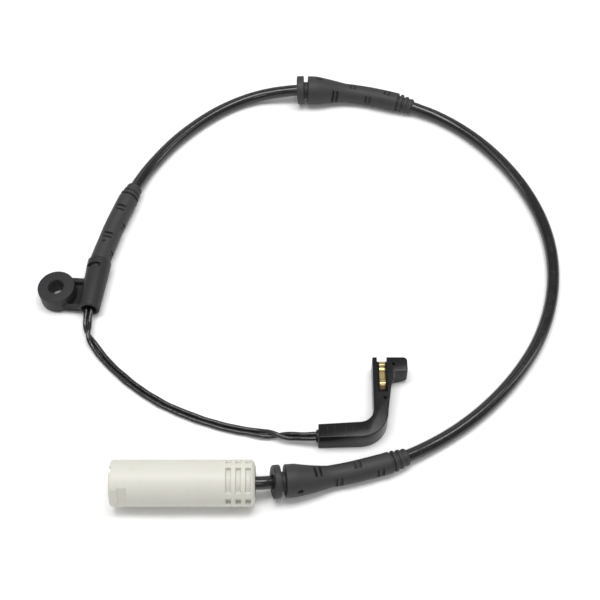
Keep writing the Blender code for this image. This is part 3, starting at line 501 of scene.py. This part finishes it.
def housing_limit(x, angle):
    """How far out the housing may reach: less in the grip windows, and over the latch's two flats."""
    off = abs((angle - grip_turn + math.pi / 2) % math.pi - math.pi / 2)
    wide, side_start, side_end = grip_edges
    open_share = max(
        step_down(off, -wide, wide, window_edge), step_down(off, side_start, side_end, window_edge)
    )
    deepest = max(step_down(x, start, end) for start, end in grooves)
    out = housing_r - groove_depth * deepest * open_share
    lean = math.cos(angle - latch_turn)
    if lean > 0.3:
        for depth, start in ((0.0006, -0.001), (0.00095, latch_step)):
            flat = (housing_r - depth) / lean
            recess = step_down(x, start, latch_length)
            out = min(out, max(flat, housing_r) * (1 - recess) + flat * recess)
    return out


housing_angles = around(150)
for half_turn in (0, math.pi):
    for edge in grip_edges:
        for offset in (-0.6, -0.2, 0.2, 0.6):
            for side in (-1, 1):
                window_side = grip_turn + half_turn + side * (edge + offset * window_edge)
                housing_angles.append(window_side % (2 * math.pi))
housing_angles.sort()
outer_x = {0.0012 + 0.0012 * i for i in range(41)}
for start, end in [*grooves, (latch_step, latch_length)]:
    for offset in (-0.00010, -0.00005, 0, 0.00005, 0.00010):
        outer_x |= {start + offset, end + offset}
outer_x = sorted(x for x in outer_x if 0.0010 < x < housing_l - 0.00139)
rear_dome = []
for i in range(8):
    share = i / 7
    pull = 2 * share * (1 - share)
    back = 0.0014 * (1 - share) ** 2 + 0.00042 * pull
    rear_dome.append((housing_l - back, housing_r - 0.00046 * pull - 0.0023 * share**2))
housing_outline = softened(
    [
        (0, housing_r, 0.0009),
        *[(x, housing_r) for x in outer_x],
        *rear_dome,
        (housing_l, rear_bore_r, 0.0003),
        (cavity_depth, rear_bore_r, 0.0002),
        (cavity_depth, cavity_r, 0.0002),
        (0, cavity_r, 0.0004),
    ]
)

white = Finish("white plug plastic", Subsurface_Weight=0.10, Subsurface_Scale=0.0015, IOR=1.5)
white_cloud = white.noise(60, 4, 0.6)
white_grime = white.ramp(white.noise(420, 5, 0.7), (0.56, 0), (0.80, 1))
white.bump(white.noise(2600, 3, 0.6) + 0.6 * white_cloud, 0.00006, 0.5)
white.show(
    Base_Color=white.mix(
        0.30 * white_grime,
        white.mix(white_cloud, (0.605, 0.598, 0.53), (0.66, 0.655, 0.60)),
        (0.485, 0.47, 0.375),
    ),
    Roughness=(0.40 + 0.12 * white_cloud + 0.10 * white_grime).clamped(),
)
housing = turned("housing", housing_outline, housing_angles, white.material, housing_limit)
key_notch = block(
    "key notch",
    (-0.001, -0.0013, 0.0030),
    (0.0006, 0.0013, 0.0100),
    math.radians(-11),
)
boolean(housing, key_notch)
finished(housing, (key_notch,))
to_plug = Matrix.Translation((rim_x, plug_rear.y, plug_rear.z))
moved(housing, to_plug)
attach(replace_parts(housing, "plug_housing"), "root")

# Contact carrier: a white moulded tower in the plug's mouth, with a stepped bore for each contact. Its
# flange seats on the floor of the housing's cavity.
axis = 0.00002
tower_start = 0.0045
tower_end = 0.0290
tower_r = 0.0049
carrier_flange_r = 0.00605
flange_start = 0.0217
flange_end = 0.0237
socket_bore_r = 0.00155
crimp_bore_r = 0.00185
bore_step = 0.0150
contact_pitch = 0.0046
carrier_outline = softened(
    [
        (tower_start, axis),
        (tower_start, tower_r, 0.0004),
        (flange_start, tower_r, 0.0003),
        (flange_start, carrier_flange_r, 0.0003),
        (flange_end, carrier_flange_r, 0.0002),
        (flange_end, tower_r, 0.0002),
        (tower_end, tower_r, 0.0003),
        (tower_end, axis),
    ]
)
carrier = turned("carrier", carrier_outline, around(72), white.material, bore=False)
bores = []
for side in (-1, 1):
    bore_outline = [
        (0.0042, axis),
        (0.0042, 0.00190),
        (0.0050, socket_bore_r),
        (bore_step, socket_bore_r),
        (bore_step, crimp_bore_r),
        (0.0295, crimp_bore_r),
        (0.0295, axis),
    ]
    bore = turned("contact bore", bore_outline, around(40), white.material, bore=False)
    moved(bore, Matrix.Translation((0, side * contact_pitch / 2, 0)))
    bores.append(boolean(carrier, bore))
finished(carrier, bores)
moved(carrier, to_plug)
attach(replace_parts(carrier, "contact_carrier"), "root")

# Contacts: two tinned sockets, rolled from strip, each with a barrel crimped on its core. Both are the
# same outline, turned and moved to its own bore in the carrier.
contact_start = 0.0053
socket_r = 0.00125
socket_l = 0.0100
crimp_r = 0.00155
contact_l = 0.0160
tin = Finish("tinned contact", Metallic=1.0)
tin_streak = tin.noise(900, 4, 0.6, (0.2, 1.0, 1.0))
tin.bump(tin_streak, 0.00004, 0.5)
tin.show(
    Base_Color=tin.mix(tin_streak, (0.58, 0.56, 0.52), (0.80, 0.79, 0.76)),
    Roughness=(0.24 + 0.22 * tin_streak).clamped(),
)
for number, side in enumerate((-1, 1), start=1):
    contact_outline = softened(
        [
            (0.0085, axis),
            (0.0085, 0.0008),
            (0, 0.0008, 0.0001),
            (0, socket_r, 0.00012),
            (socket_l, socket_r),
            (socket_l, crimp_r, 0.0001),
            (contact_l, crimp_r, 0.0001),
            (contact_l, 0.00115),
            (0.0115, 0.00115),
            (0.0115, axis),
        ]
    )
    contact = turned(f"contact_sleeve_{number}", contact_outline, around(36), tin.material, bore=False)
    moved(contact, Matrix.Translation((contact_start, side * contact_pitch / 2, 0)), to_plug)
    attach(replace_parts(contact, f"contact_{number}"), "root")

# Cable seal: a soft sleeve on the cable, pressed into the rear bore. Its three lips are the same ring,
# set at one pitch along it.
seal_length = 0.0085
seal_r = 0.0045
seal_bore_r = 0.0027
lip_r = 0.0049
lip_root_r = 0.0042
seal_rubber = Finish("seal rubber", Specular_IOR_Level=0.4)
seal_speckle = seal_rubber.noise(1200, 3)
seal_rubber.bump(seal_speckle, 0.00004, 0.5)
seal_rubber.show(
    Base_Color=seal_rubber.mix(seal_speckle, (0.20, 0.055, 0.025), (0.30, 0.09, 0.04)),
    Roughness=(0.45 + 0.2 * seal_speckle).clamped(),
)


class Nodes:
    """A Geometry Nodes tree with named inputs, built node by node."""

    def __init__(self, name, **inputs):
        self.tree = bpy.data.node_groups.new(name, "GeometryNodeTree")
        self.tree.interface.new_socket("Geometry", in_out="INPUT", socket_type="NodeSocketGeometry")
        self.tree.interface.new_socket("Geometry", in_out="OUTPUT", socket_type="NodeSocketGeometry")
        for label, kind in inputs.items():
            self.tree.interface.new_socket(
                label.replace("_", " "), in_out="INPUT", socket_type="NodeSocket" + kind
            )
        self.given = self.tree.nodes.new("NodeGroupInput").outputs
        self.result = self.tree.nodes.new("NodeGroupOutput").inputs[0]

    def node(self, kind, settings=None, values=None, output=0):
        node = self.tree.nodes.new(kind)
        for name, value in (settings or {}).items():
            setattr(node, name, value)
        for name, value in (values or {}).items():
            if isinstance(value, bpy.types.NodeSocket):
                self.tree.links.new(value, node.inputs[name])
            else:
                node.inputs[name].default_value = value
        return node.outputs[output]

    def close(self, geometry):
        """Ends the tree with real geometry in the piece's material."""
        real = self.node("GeometryNodeRealizeInstances", {}, {0: geometry})
        finish = {"Geometry": real, "Material": self.given["Material"]}
        self.tree.links.new(self.node("GeometryNodeSetMaterial", {}, finish), self.result)

    def on(self, obj, **values):
        """Puts the tree on an object and sets its inputs by their identifiers."""
        modifier = obj.modifiers.new(self.tree.name, "NODES")
        modifier.node_group = self.tree
        for item in self.tree.interface.items_tree:
            key = item.name.replace(" ", "_")
            if item.in_out == "INPUT" and key in values:
                modifier[item.identifier] = values[key]
        return modifier


lips = Nodes("seal lips", Lip="Object", Count="Int", First="Float", Pitch="Float", Material="Material")
lip_start = lips.node("ShaderNodeCombineXYZ", {}, {"X": lips.given["First"]})
lip_step = lips.node("ShaderNodeCombineXYZ", {}, {"X": lips.given["Pitch"]})
lip_places = lips.node(
    "GeometryNodeMeshLine",
    {},
    {"Count": lips.given["Count"], "Start Location": lip_start, "Offset": lip_step},
)
lip_shape = lips.node("GeometryNodeObjectInfo", {}, {"Object": lips.given["Lip"]}, "Geometry")
lip_rings = lips.node("GeometryNodeInstanceOnPoints", {}, {"Points": lip_places, "Instance": lip_shape})
seal_join = lips.tree.nodes.new("GeometryNodeJoinGeometry")
lips.tree.links.new(lips.given["Geometry"], seal_join.inputs[0])
lips.tree.links.new(lip_rings, seal_join.inputs[0])
lips.close(seal_join.outputs[0])

lip_outline = softened(
    [(-0.0006, lip_root_r), (-0.0003, lip_r, 0.0003), (0.0003, lip_r, 0.0003), (0.0006, lip_root_r)]
)
lip = turned("seal lip", lip_outline, around(64), seal_rubber.material)
seal_outline = softened(
    [
        (0, seal_r, 0.0003),
        (seal_length, seal_r, 0.0003),
        (seal_length, seal_bore_r, 0.0002),
        (0, seal_bore_r, 0.0002),
    ]
)
seal = turned("seal", seal_outline, around(64), seal_rubber.material)
lips.on(seal, Lip=lip, Count=3, First=0.0014, Pitch=0.0028, Material=seal_rubber.material)
finished(seal, (lip,))
moved(seal, Matrix.Translation((housing_l - 0.0010 - seal_length, 0, 0)), to_plug)
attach(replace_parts(seal, "cable_seal"), "root")

# Core ends in the plug: the same sleeving as outside, spread from the cable's end to the two crimps.
for number in (1, 2):
    core_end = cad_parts[f"plug_core_{number}"]
    core_end.data.materials.clear()
    core_end.data.materials.append(sleeving.material)

# Grommets and boot: three soft black mouldings, pushed over the cable. Each has ring ribs at one end
# that let the cable bend softly, and pairs of flat pockets where the tool held the cable centred.
bore_r = cable_d / 2 + fit
flange_r = 0.0060
flange_l = 0.0027
neck_r = 0.00345
neck_end = 0.0043
dimple_at = 0.0090
body_r = 0.00395
shoulder_r = 0.00595
taper_start = 0.0078
taper_length = 0.0125
grommet_body = 0.0433
rib_pitch = 0.0021
rib_gap = 0.0007
rib_root_r = 0.0030
pocket_w = 0.0028
pocket_floor = 0.0029
pocket_bar = 0.0009
bar_drop = 0.0004
grommet_turn = math.radians(-17)

rubber = Finish("soft black rubber", Specular_IOR_Level=0.45)
rubber_grain = rubber.noise(5200, 2, 0.5)
rubber_cloud = rubber.noise(210, 4, 0.6)
rubber_dust = rubber.ramp(rubber.noise(1700, 5, 0.7), (0.50, 0), (0.78, 1))
rubber.bump(0.5 * rubber_grain + rubber_cloud, 0.00010, 0.55)
rubber.show(
    Base_Color=rubber.mix(
        0.30 * rubber_dust,
        rubber.mix(rubber_cloud, (0.021, 0.021, 0.0225), (0.034, 0.034, 0.0365)),
        (0.066, 0.065, 0.065),
    ),
    Roughness=(0.50 + 0.14 * rubber_cloud).clamped(),
)


def ribs_from(start):
    """Three soft ring ribs, each a little lower than the one before."""
    line = []
    for number in range(3):
        groove = start + number * rib_pitch
        top = rib_root_r + 0.00086 - number * 0.00033
        line += [
            (groove + 0.00005, rib_root_r, 0.0001),
            (groove + rib_gap, rib_root_r, 0.0001),
            (groove + rib_gap + 0.0002, top, 0.0003),
            (groove + rib_pitch - 0.0002, top, 0.0003),
        ]
    return [*line, (start + 3 * rib_pitch, rib_root_r, 0.0001), (start + 3 * rib_pitch + 0.0002, bore_r)]


def stations(start, end, middles, dimple):
    """Distances along a body: even ones, and closer ones at every pocket and bar and at the dimple."""
    count = math.ceil((end - start) / 0.0011)
    places = {start + (end - start) * i / count for i in range(count + 1)}
    places |= {dimple + 0.00017 * i for i in range(-6, 7)}
    for middle in middles:
        for half in (pocket_w / 2, pocket_bar / 2):
            for side in (-1, 1):
                for offset in (-0.00007, -0.00002, 0.00003, 0.00008):
                    places.add(middle + side * half + offset)
    return sorted(place for place in places if start <= place <= end)


def pocket_limit(pockets, marks, base):
    """The radius that pockets and marks leave: deep flat floors over the cable, with a low bar."""

    def limit(x, angle):
        out = 1.0
        for middle, turn in pockets:
            lean = abs(math.cos(angle - turn))
            full = base(middle)
            wide = 0.0018 + 1.2 * (full - body_r)
            if lean < 0.3:
                continue
            cut = step_down(x, middle - pocket_w / 2, middle + pocket_w / 2, 0.0001)
            cut *= step_down(full * math.sin(angle - turn), -wide, wide, 0.0002)
            bar = step_down(x, middle - pocket_bar / 2, middle + pocket_bar / 2, 0.0001)
            floor = (pocket_floor + (full - bar_drop - pocket_floor) * bar) / lean
            if cut > 0:
                out = min(out, base(x) * (1 - cut) + floor * cut)
        for place, turn, radius, depth in marks:
            across = base(place) * math.sin(angle - turn)
            off = math.hypot(x - place, across) / radius
            if off < 1.15 and math.cos(angle - turn) > 0:
                out = min(out, base(place) - depth * min((1.15 - off) / 0.3, 1))
        return out

    return limit


def grommet_base(x):
    share = min(max((x - taper_start) / taper_length, 0), 1)
    return shoulder_r + (body_r - shoulder_r) * share


laid = Nodes("laid on the cable", Cable="Object", Start="Float", Direction="Float", Material="Material")
own = laid.node("GeometryNodeInputPosition")
own_parts = laid.tree.nodes.new("ShaderNodeSeparateXYZ")
laid.tree.links.new(own, own_parts.inputs[0])
along_cable = laid.node(
    "ShaderNodeMath",
    {"operation": "MULTIPLY_ADD"},
    {0: own_parts.outputs["X"], 1: laid.given["Direction"], 2: laid.given["Start"]},
)
cable_shape = laid.node("GeometryNodeObjectInfo", {}, {"Object": laid.given["Cable"]}, "Geometry")
sample = laid.tree.nodes.new("GeometryNodeSampleCurve")
sample.mode = "LENGTH"
laid.tree.links.new(cable_shape, sample.inputs["Curves"])
laid.tree.links.new(along_cable, sample.inputs["Length"])
to_left = laid.node(
    "ShaderNodeVectorMath", {"operation": "CROSS_PRODUCT"}, {0: (0, 0, 1), 1: sample.outputs["Tangent"]}
)
to_left = laid.node("ShaderNodeVectorMath", {"operation": "NORMALIZE"}, {0: to_left})
upwards = laid.node(
    "ShaderNodeVectorMath", {"operation": "CROSS_PRODUCT"}, {0: sample.outputs["Tangent"], 1: to_left}
)
sideways = laid.node(
    "ShaderNodeMath", {"operation": "MULTIPLY"}, {0: own_parts.outputs["Y"], 1: laid.given["Direction"]}
)
side_part = laid.node("ShaderNodeVectorMath", {"operation": "SCALE"}, {0: to_left, "Scale": sideways})
up_part = laid.node(
    "ShaderNodeVectorMath", {"operation": "SCALE"}, {0: upwards, "Scale": own_parts.outputs["Z"]}
)
offset = laid.node("ShaderNodeVectorMath", {"operation": "ADD"}, {0: side_part, 1: up_part})
new_place = laid.node(
    "ShaderNodeVectorMath", {"operation": "ADD"}, {0: sample.outputs["Position"], 1: offset}
)
placing = {"Geometry": laid.given["Geometry"], "Position": new_place}
laid.close(laid.node("GeometryNodeSetPosition", {}, placing))

guide_steps = 940
guide_line = [cable_way.at(cable_way.length * i / guide_steps)[0] for i in range(guide_steps + 1)]
guide = line_object("cable guide", guide_line)
guide_length = sum((b - a).length for a, b in zip(guide_line, guide_line[1:]))


def lay(obj, start, direction):
    laid.on(
        obj,
        Cable=guide,
        Start=start * guide_length / cable_way.length,
        Direction=float(direction),
        Material=rubber.material,
    )
    return finished(obj)


grommet_middles = [0.0157 + 0.0076 * number for number in range(4)]
grommet_ends = grommet_body + 3 * rib_pitch
plug_to_grommet = 0.0062
between_grommets = 0.2117
lower_at = cable_in_plug + plug_to_grommet
upper_at = lower_at + 2 * grommet_ends + between_grommets
for name, node, start, direction, turn in (
    ("grommet_near_plug", "grommet_lower", lower_at, 1, grommet_turn),
    ("grommet_mid_cable", "grommet_upper", upper_at, -1, grommet_turn + 3 * math.pi / 2),
):
    grommet_x = stations(0.0051, grommet_body - 0.0005, grommet_middles, dimple_at)
    grommet_outline = softened(
        [
            (0, bore_r, 0.0002),
            (0, flange_r, 0.0005),
            (flange_l, flange_r, 0.0005),
            (flange_l, neck_r, 0.0002),
            (neck_end, neck_r, 0.0002),
            (neck_end, shoulder_r, 0.0005),
            *[(x, grommet_base(x)) for x in grommet_x],
            (grommet_body, body_r, 0.0004),
            (grommet_body, rib_root_r, 0.0001),
            *ribs_from(grommet_body),
            *[(grommet_ends - 0.0025 * i, bore_r) for i in range(1, 19)],
        ]
    )
    pockets = [(middle, turn + number % 2 * math.pi / 2) for number, middle in enumerate(grommet_middles)]
    mark = [(dimple_at, turn + math.pi / 2, 0.0009, 0.0012)]
    grommet = turned(
        name, grommet_outline, around(144), rubber.material, pocket_limit(pockets, mark, grommet_base)
    )
    lay(grommet, start, direction)
    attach(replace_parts(grommet, node), "root")

boot_body = 0.0326
tail_l = 0.0065
tail_r = 0.00335
boot_dimple_at = 0.0078
boot_middles = [0.0040 + 0.0072 * number for number in range(4)]
boot_outline = softened(
    [
        (-tail_l, bore_r, 0.0002),
        (-tail_l, tail_r, 0.0003),
        (fit, tail_r, 0.0001),
        (fit, body_r, 0.0003),
        *[(x, body_r) for x in stations(0.0007, boot_body - 0.0005, boot_middles, boot_dimple_at)],
        (boot_body, body_r, 0.0004),
        (boot_body, rib_root_r, 0.0001),
        *ribs_from(boot_body),
        *[(boot_body + 3 * rib_pitch - 0.0025 * i, bore_r) for i in range(1, 18)],
    ]
)
boot_pockets = [(middle, (number + 1) % 2 * math.pi / 2) for number, middle in enumerate(boot_middles)]
boot = turned(
    "boot",
    boot_outline,
    around(132),
    rubber.material,
    pocket_limit(boot_pockets, [(boot_dimple_at, math.radians(-8), 0.0006, 0.0007)], lambda x: body_r),
)
lay(boot, cable_way.length - cable_in_sleeve, -1)
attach(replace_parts(boot, "cable_boot"), "root")
bpy.data.objects.remove(guide)

# Eyelet holder: a stiff black moulding, a sleeve for the boot's tail with a thick ring beside it for one
# bolt. Two slots in the sleeve's wall show that the tail is home, and the web between is cored out.
sleeve_r = 0.00465
sleeve_end_r = 0.00405
tail_seat_r = 0.00365
tail_seat_l = 0.0068
sleeve_bore_r = 0.0028
eyelet_along = 0.01497
eyelet_aside = 0.01366
eyelet_h = 0.0071
eyelet_r = 0.007175
eyelet_hole_r = 0.0031
eyelet_bottom = -0.0030
web_start = 0.0083
web_end = 0.0215
holder_roll = math.radians(4.5)


def black_moulding(name, shine, dark, light, scuffed, roughness):
    """A black moulding's finish: a faint grain, cloudy tone and a few lighter scuffs."""
    finish = Finish(name, Specular_IOR_Level=shine)
    grain = finish.noise(3800, 3, 0.6)
    cloud = finish.noise(180, 4, 0.6)
    scuff = finish.ramp(finish.noise(800, 5, 0.75, (1.0, 0.35, 1.0)), (0.55, 0), (0.80, 1))
    finish.bump(0.7 * grain + 0.8 * cloud, 0.00007, 0.5)
    finish.show(
        Base_Color=finish.mix(0.30 * scuff, finish.mix(cloud, dark, light), scuffed),
        Roughness=(roughness + 0.10 * cloud + 0.08 * scuff).clamped(),
    )
    return finish


plastic = black_moulding(
    "stiff black plastic", 0.26, (0.019, 0.019, 0.0205), (0.031, 0.031, 0.033), (0.060, 0.060, 0.062), 0.44
)


def prism(name, outline, low, high, material=None):
    """A flat outline in plan, drawn up from one height to another."""
    bm = bmesh.new()
    rings = [[bm.verts.new((x, y, z)) for x, y in outline] for z in (low, high)]
    bm.faces.new(rings[0])
    bm.faces.new(rings[1])
    for i in range(len(outline)):
        j = (i + 1) % len(outline)
        bm.faces.new((rings[0][i], rings[0][j], rings[1][j], rings[1][i]))
    return mesh_object(name, bm, material)


def stand(obj, x, y, z):
    """Stands a turned piece on end at a place."""
    return moved(obj, Matrix.Rotation(-math.pi / 2, 4, "Y"), Matrix.Translation((x, y, z)))


def solid_turned(name, outline, steps, material=None):
    """A turned solid with no bore: its outline starts and ends near the axis."""
    return turned(name, softened(outline), around(steps), material or plastic.material, bore=False)


holder = solid_turned(
    "holder",
    [(0, axis), (0, sleeve_r, 0.0006), (sleeve_l, sleeve_end_r, 0.0005), (sleeve_l, axis)],
    96,
)
eyelet = solid_turned(
    "eyelet",
    [(0, axis), (0, eyelet_r, 0.0004), (eyelet_h, eyelet_r, 0.0004), (eyelet_h, axis)],
    112,
)
stand(eyelet, eyelet_along, -eyelet_aside, eyelet_bottom)
web = prism(
    "web",
    [(web_start, -0.0010), (web_start, -eyelet_aside), (web_end, -eyelet_aside), (web_end, -0.0010)],
    eyelet_bottom + 0.0004,
    eyelet_bottom + 0.0036,
    plastic.material,
)
web_core = prism(
    "web coring",
    [(0.0099, -0.0020), (0.0099, -0.0110), (0.0203, -0.0110), (0.0203, -0.0020)],
    eyelet_bottom + 0.0014,
    eyelet_bottom + 0.0060,
    plastic.material,
)
boolean(web, web_core)
finished(web, (web_core,))
boolean(holder, eyelet, "UNION")
boolean(holder, web, "UNION")
sleeve_bore = solid_turned(
    "sleeve bore",
    [
        (-0.001, axis),
        (-0.001, 0.0042),
        (0.0006, tail_seat_r),
        (tail_seat_l, tail_seat_r),
        (tail_seat_l, sleeve_bore_r),
        (sleeve_l - 0.0005, sleeve_bore_r),
        (sleeve_l + 0.0005, 0.0031),
        (sleeve_l + 0.0005, axis),
    ],
    72,
)
boolean(holder, sleeve_bore)
eyelet_bore = solid_turned(
    "eyelet bore",
    [
        (-0.001, axis),
        (-0.001, eyelet_hole_r + 0.0012),
        (0.0002, eyelet_hole_r),
        (eyelet_h - 0.0002, eyelet_hole_r),
        (eyelet_h + 0.001, eyelet_hole_r + 0.0012),
        (eyelet_h + 0.001, axis),
    ],
    80,
)
boolean(holder, stand(eyelet_bore, eyelet_along, -eyelet_aside, eyelet_bottom))
window_floor = sleeve_r * math.cos(math.radians(50))
windows = []
for number in range(2):
    window_turn = math.radians(25) + number * math.pi
    window = block("sleeve window", (0.00285, -0.01, window_floor), (0.00475, 0.01, 0.01), window_turn)
    windows.append(boolean(holder, window))
rounded_edges(holder, 0.00012)
finished(holder, (eyelet, web, sleeve_bore, eyelet_bore, *windows))
moved(
    holder,
    Matrix.Rotation(holder_roll, 4, "X"),
    Matrix.Rotation(sleeve_yaw, 4, "Z"),
    Matrix.Translation(sleeve_mouth),
)
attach(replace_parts(holder, "eyelet_holder"), "root")

# Sensor head: an L-shaped black moulding. The cores enter its bar, the arm ends in a fork that clips on
# the brake pad's back plate, and the block beside the fork is what the disc wears away.
bar_l = 0.0202
arm_l = 0.0334
tip_w = 0.0072
bend_r = 0.0053
block_reach = 0.0058
block_depth = 0.0061
bend_w = 0.00535
fork_wall = 0.0017
slot_w = 0.0036
slot_l = 0.0146
slot_floor = head_h - 0.0034


def arc(centre, radius, start, end, steps):
    angles = [math.radians(start + (end - start) * i / steps) for i in range(steps + 1)]
    return [(centre[0] + radius * math.cos(a), centre[1] + radius * math.sin(a)) for a in angles]


outer_middle = (bar_l - bend_r, 0.0004 + bend_w + bend_r)
inner_middle = (bar_l - bend_r, bar_w + 0.00095 + bend_r)
tip_x = bar_l + tip_w
block_y = arm_l - block_depth
block_end = tip_x + block_reach
head_outline = [
    *arc((0.0003, 0.0003), 0.0003, 180, 270, 2),
    *arc(outer_middle, bend_w + bend_r, -90, 0, 22),
    *arc((tip_x + 0.0020, block_y - 0.0020), 0.0020, 180, 90, 10),
    *arc((block_end - 0.0006, block_y + 0.0006), 0.0006, -90, 0, 4),
    *arc((block_end - 0.0015, arm_l - 0.0015), 0.0015, 0, 90, 7),
    *arc((bar_l + 0.0004, arm_l - 0.0004), 0.0004, 90, 180, 3),
    *arc(inner_middle, bend_r, 0, -90, 16),
    (0, bar_w),
]
dense = black_moulding(
    "dense black plastic", 0.24, (0.007, 0.007, 0.008), (0.013, 0.013, 0.014), (0.030, 0.030, 0.032), 0.20
)
head = prism("head", head_outline, 0, head_h, dense.material)
rounded_edges(head, 0.00028, 3)
finished(head)
slot_x = bar_l + fork_wall
slot_y = arm_l - slot_l
boss_r = 0.00235
boss = solid_turned(
    "entry boss",
    [(-entry_boss, axis), (-entry_boss, boss_r, 0.0003), (0.001, boss_r), (0.001, axis)],
    48,
    dense.material,
)
moved(boss, Matrix.Translation((0, bar_w / 2, head_h / 2)))
boolean(head, boss, "UNION")
slot_end = (slot_x + slot_w, arm_l + 0.003, head_h + 0.003)
fork_slot = block("fork slot", (slot_x, slot_y, slot_floor), slot_end)
hook_pocket = block(
    "hook pocket",
    (slot_x + 0.0004, slot_y + 0.0004, slot_floor - 0.0012),
    (slot_x + slot_w - 0.0004, slot_y + 0.0023, slot_floor + 0.0004),
)
underside = prism(
    "block underside",
    [
        (block_end - 0.0036, -0.003),
        (block_end - 0.0036, 0),
        (block_end, 0.0022),
        (block_end + 0.002, 0.0034),
        (block_end + 0.002, -0.003),
    ],
    -(arm_l + 0.003),
    -(block_y - 0.0021),
)
moved(underside, Matrix.Rotation(math.pi / 2, 4, "X"))
core_entry = prism(
    "core entry",
    [
        (0.0019, -0.0006),
        (0.0019, 0.0006),
        (0.0013, 0.0011),
        (-0.0013, 0.0011),
        (-0.0019, 0.0006),
        (-0.0019, -0.0006),
        (-0.0013, -0.0011),
        (0.0013, -0.0011),
    ],
    -0.002,
    core_in_head + 0.0005,
)
moved(
    core_entry,
    Matrix.Rotation(math.pi / 2, 4, "Z"),
    Matrix.Rotation(math.pi / 2, 4, "Y"),
    Matrix.Translation((0, bar_w / 2, head_h / 2)),
)
marks = []
pin_outline = [(-0.0010, axis), (-0.0010, 0.00065), (0.003, 0.00065), (0.003, axis)]
for x, y in ((tip_x + 0.00065, arm_l - block_depth / 2), (bar_l + 0.8 * bend_w, slot_y - 0.0026)):
    pin = solid_turned("pin mark", pin_outline, 24, dense.material)
    marks.append(boolean(head, stand(pin, x, y, head_h)))
for cutter in (fork_slot, hook_pocket, underside, core_entry):
    boolean(head, cutter)
rounded_edges(head, 0.00010, 2, math.radians(50))
finished(head, (boss, fork_slot, hook_pocket, underside, core_entry, *marks))
moved(head, Matrix.Translation(head_corner))
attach(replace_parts(head, "sensor_head"), "root")

# Wire loop: the conductor that the disc cuts through in the end, hidden inside the head's solid. It shares
# its brass with the clip, whose tail deep in the fork is painted almost black as painted shade.
brass = Finish("rolled brass", Metallic=1.0)
brass_roll = brass.noise(1500, 4, 0.6, (1.0, 0.12, 1.0))
brass_stain = brass.ramp(brass.noise(650, 4, 0.65), (0.50, 0), (0.75, 1))
brass_along = brass.node("SeparateXYZ", {}, {"Vector": brass.place}, "Y")
# Painted shade: towards the slot's closed end, below this place along Y, the brass is blended to near
# black, standing in for the shade in the hook pocket.
brass_tail_painted_shade = ((brass_along - (head_corner.y + slot_y + 0.0026)) * 1250).clamped()
brass.bump(brass_roll, 0.00002, 0.4)
brass.show(
    # The first colour, near black, is the painted shade on the clip's tail in the fork.
    Base_Color=brass.mix(
        brass_tail_painted_shade,
        (0.02, 0.012, 0.010),
        brass.mix(
            0.55 * brass_stain,
            brass.mix(brass_roll, (0.36, 0.27, 0.125), (0.47, 0.37, 0.19)),
            (0.36, 0.22, 0.09),
        ),
    ),
    Roughness=(0.22 + 0.12 * brass_roll + 0.14 * brass_stain).clamped(),
)
wear_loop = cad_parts["wear_loop"]
wear_loop.data.materials.clear()
wear_loop.data.materials.append(brass.material)

# Spring clip: a leaf of rolled brass strip in the fork, bent to two crests. Its tail hooks into a pocket
# at the slot's closed end, and the crests press on the pad's back plate.
clip_w = 0.0024
clip_t = 0.0003
clip_shift = 0.00025
clip_steps = 90
clip_x = slot_x + slot_w / 2 + clip_shift
clip_way = Way(
    [
        head_corner + Vector((clip_x, slot_y + along, slot_floor + rise))
        for along, rise in (
            (0.00145, -0.0008),
            (0.00175, 0.0),
            (0.00265, 0.0004),
            (0.00445, 0.0017),
            (0.00735, 0.0011),
            (0.01165, 0.0008),
            (0.01245, 0.0014),
            (0.01425, 0.0004),
        )
    ]
)
bm = bmesh.new()
strip_rows = []
for i in range(clip_steps + 1):
    x, y, z = clip_way.at(clip_way.length * i / clip_steps)[0]
    strip_rows.append([bm.verts.new((x + side * clip_w / 2, y, z)) for side in (-1, -0.33, 0.33, 1)])
for near, far in zip(strip_rows, strip_rows[1:]):
    for i in range(3):
        bm.faces.new((near[i], near[i + 1], far[i + 1], far[i]))
clip = mesh_object("clip", bm, brass.material)
thickness = clip.modifiers.new("strip", "SOLIDIFY")
thickness.thickness = clip_t
thickness.offset = 0
rounded_edges(clip, 0.00006, 2, math.radians(60))
finished(clip)
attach(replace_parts(clip, "spring_clip"), "root")

# Floor: plain and pale, wide enough to hold every view of the harness.
floor_paint = Finish("pale floor", Roughness=0.75)
floor_cloud = floor_paint.noise(6, 3)
floor_paint.show(Base_Color=floor_paint.mix(floor_cloud, (0.95, 0.95, 0.95), (0.97, 0.97, 0.97)))
bm = bmesh.new()
bmesh.ops.create_grid(bm, x_segments=1, y_segments=1, size=4.0)
floor = mesh_object("floor", bm, floor_paint.material)
moved(floor, Matrix.Translation((0, 0, -0.00002)))


# Light: a wide soft box overhead, a little behind the harness, and dim ones behind, in front and at the
# sides, so that the tops stay dark while edges and fronts pick up light from the floor.
def soft_box(name, place, size, watts):
    lamp = bpy.data.lights.new(name, "AREA")
    lamp.shape = "RECTANGLE"
    lamp.size, lamp.size_y = size
    lamp.energy = watts
    obj = bpy.data.objects.new(name, lamp)
    bpy.context.scene.collection.objects.link(obj)
    obj.location = place
    obj.rotation_euler = (loop_middle - Vector(place)).to_track_quat("-Z", "Y").to_euler()
    return obj


soft_box("overhead box", (0.0, 0.08, 1.30), (1.20, 0.50), 14)
soft_box("back box", (0.05, 1.15, 0.75), (1.30, 0.40), 2)
soft_box("front box", (0.05, -0.70, 0.86), (0.50, 0.12), 1.2)
soft_box("left box", (-1.05, 0.10, 0.70), (0.25, 0.90), 2)
soft_box("right box", (1.10, 0.00, 0.65), (0.20, 0.80), 2)
room = bpy.data.worlds.new("bright room")
room.use_nodes = True
room.node_tree.nodes["Background"].inputs["Color"].default_value = (1.0, 1.0, 1.0, 1.0)
room.node_tree.nodes["Background"].inputs["Strength"].default_value = 0.30
bpy.context.scene.world = room
bpy.context.scene.view_settings.view_transform = "Standard"
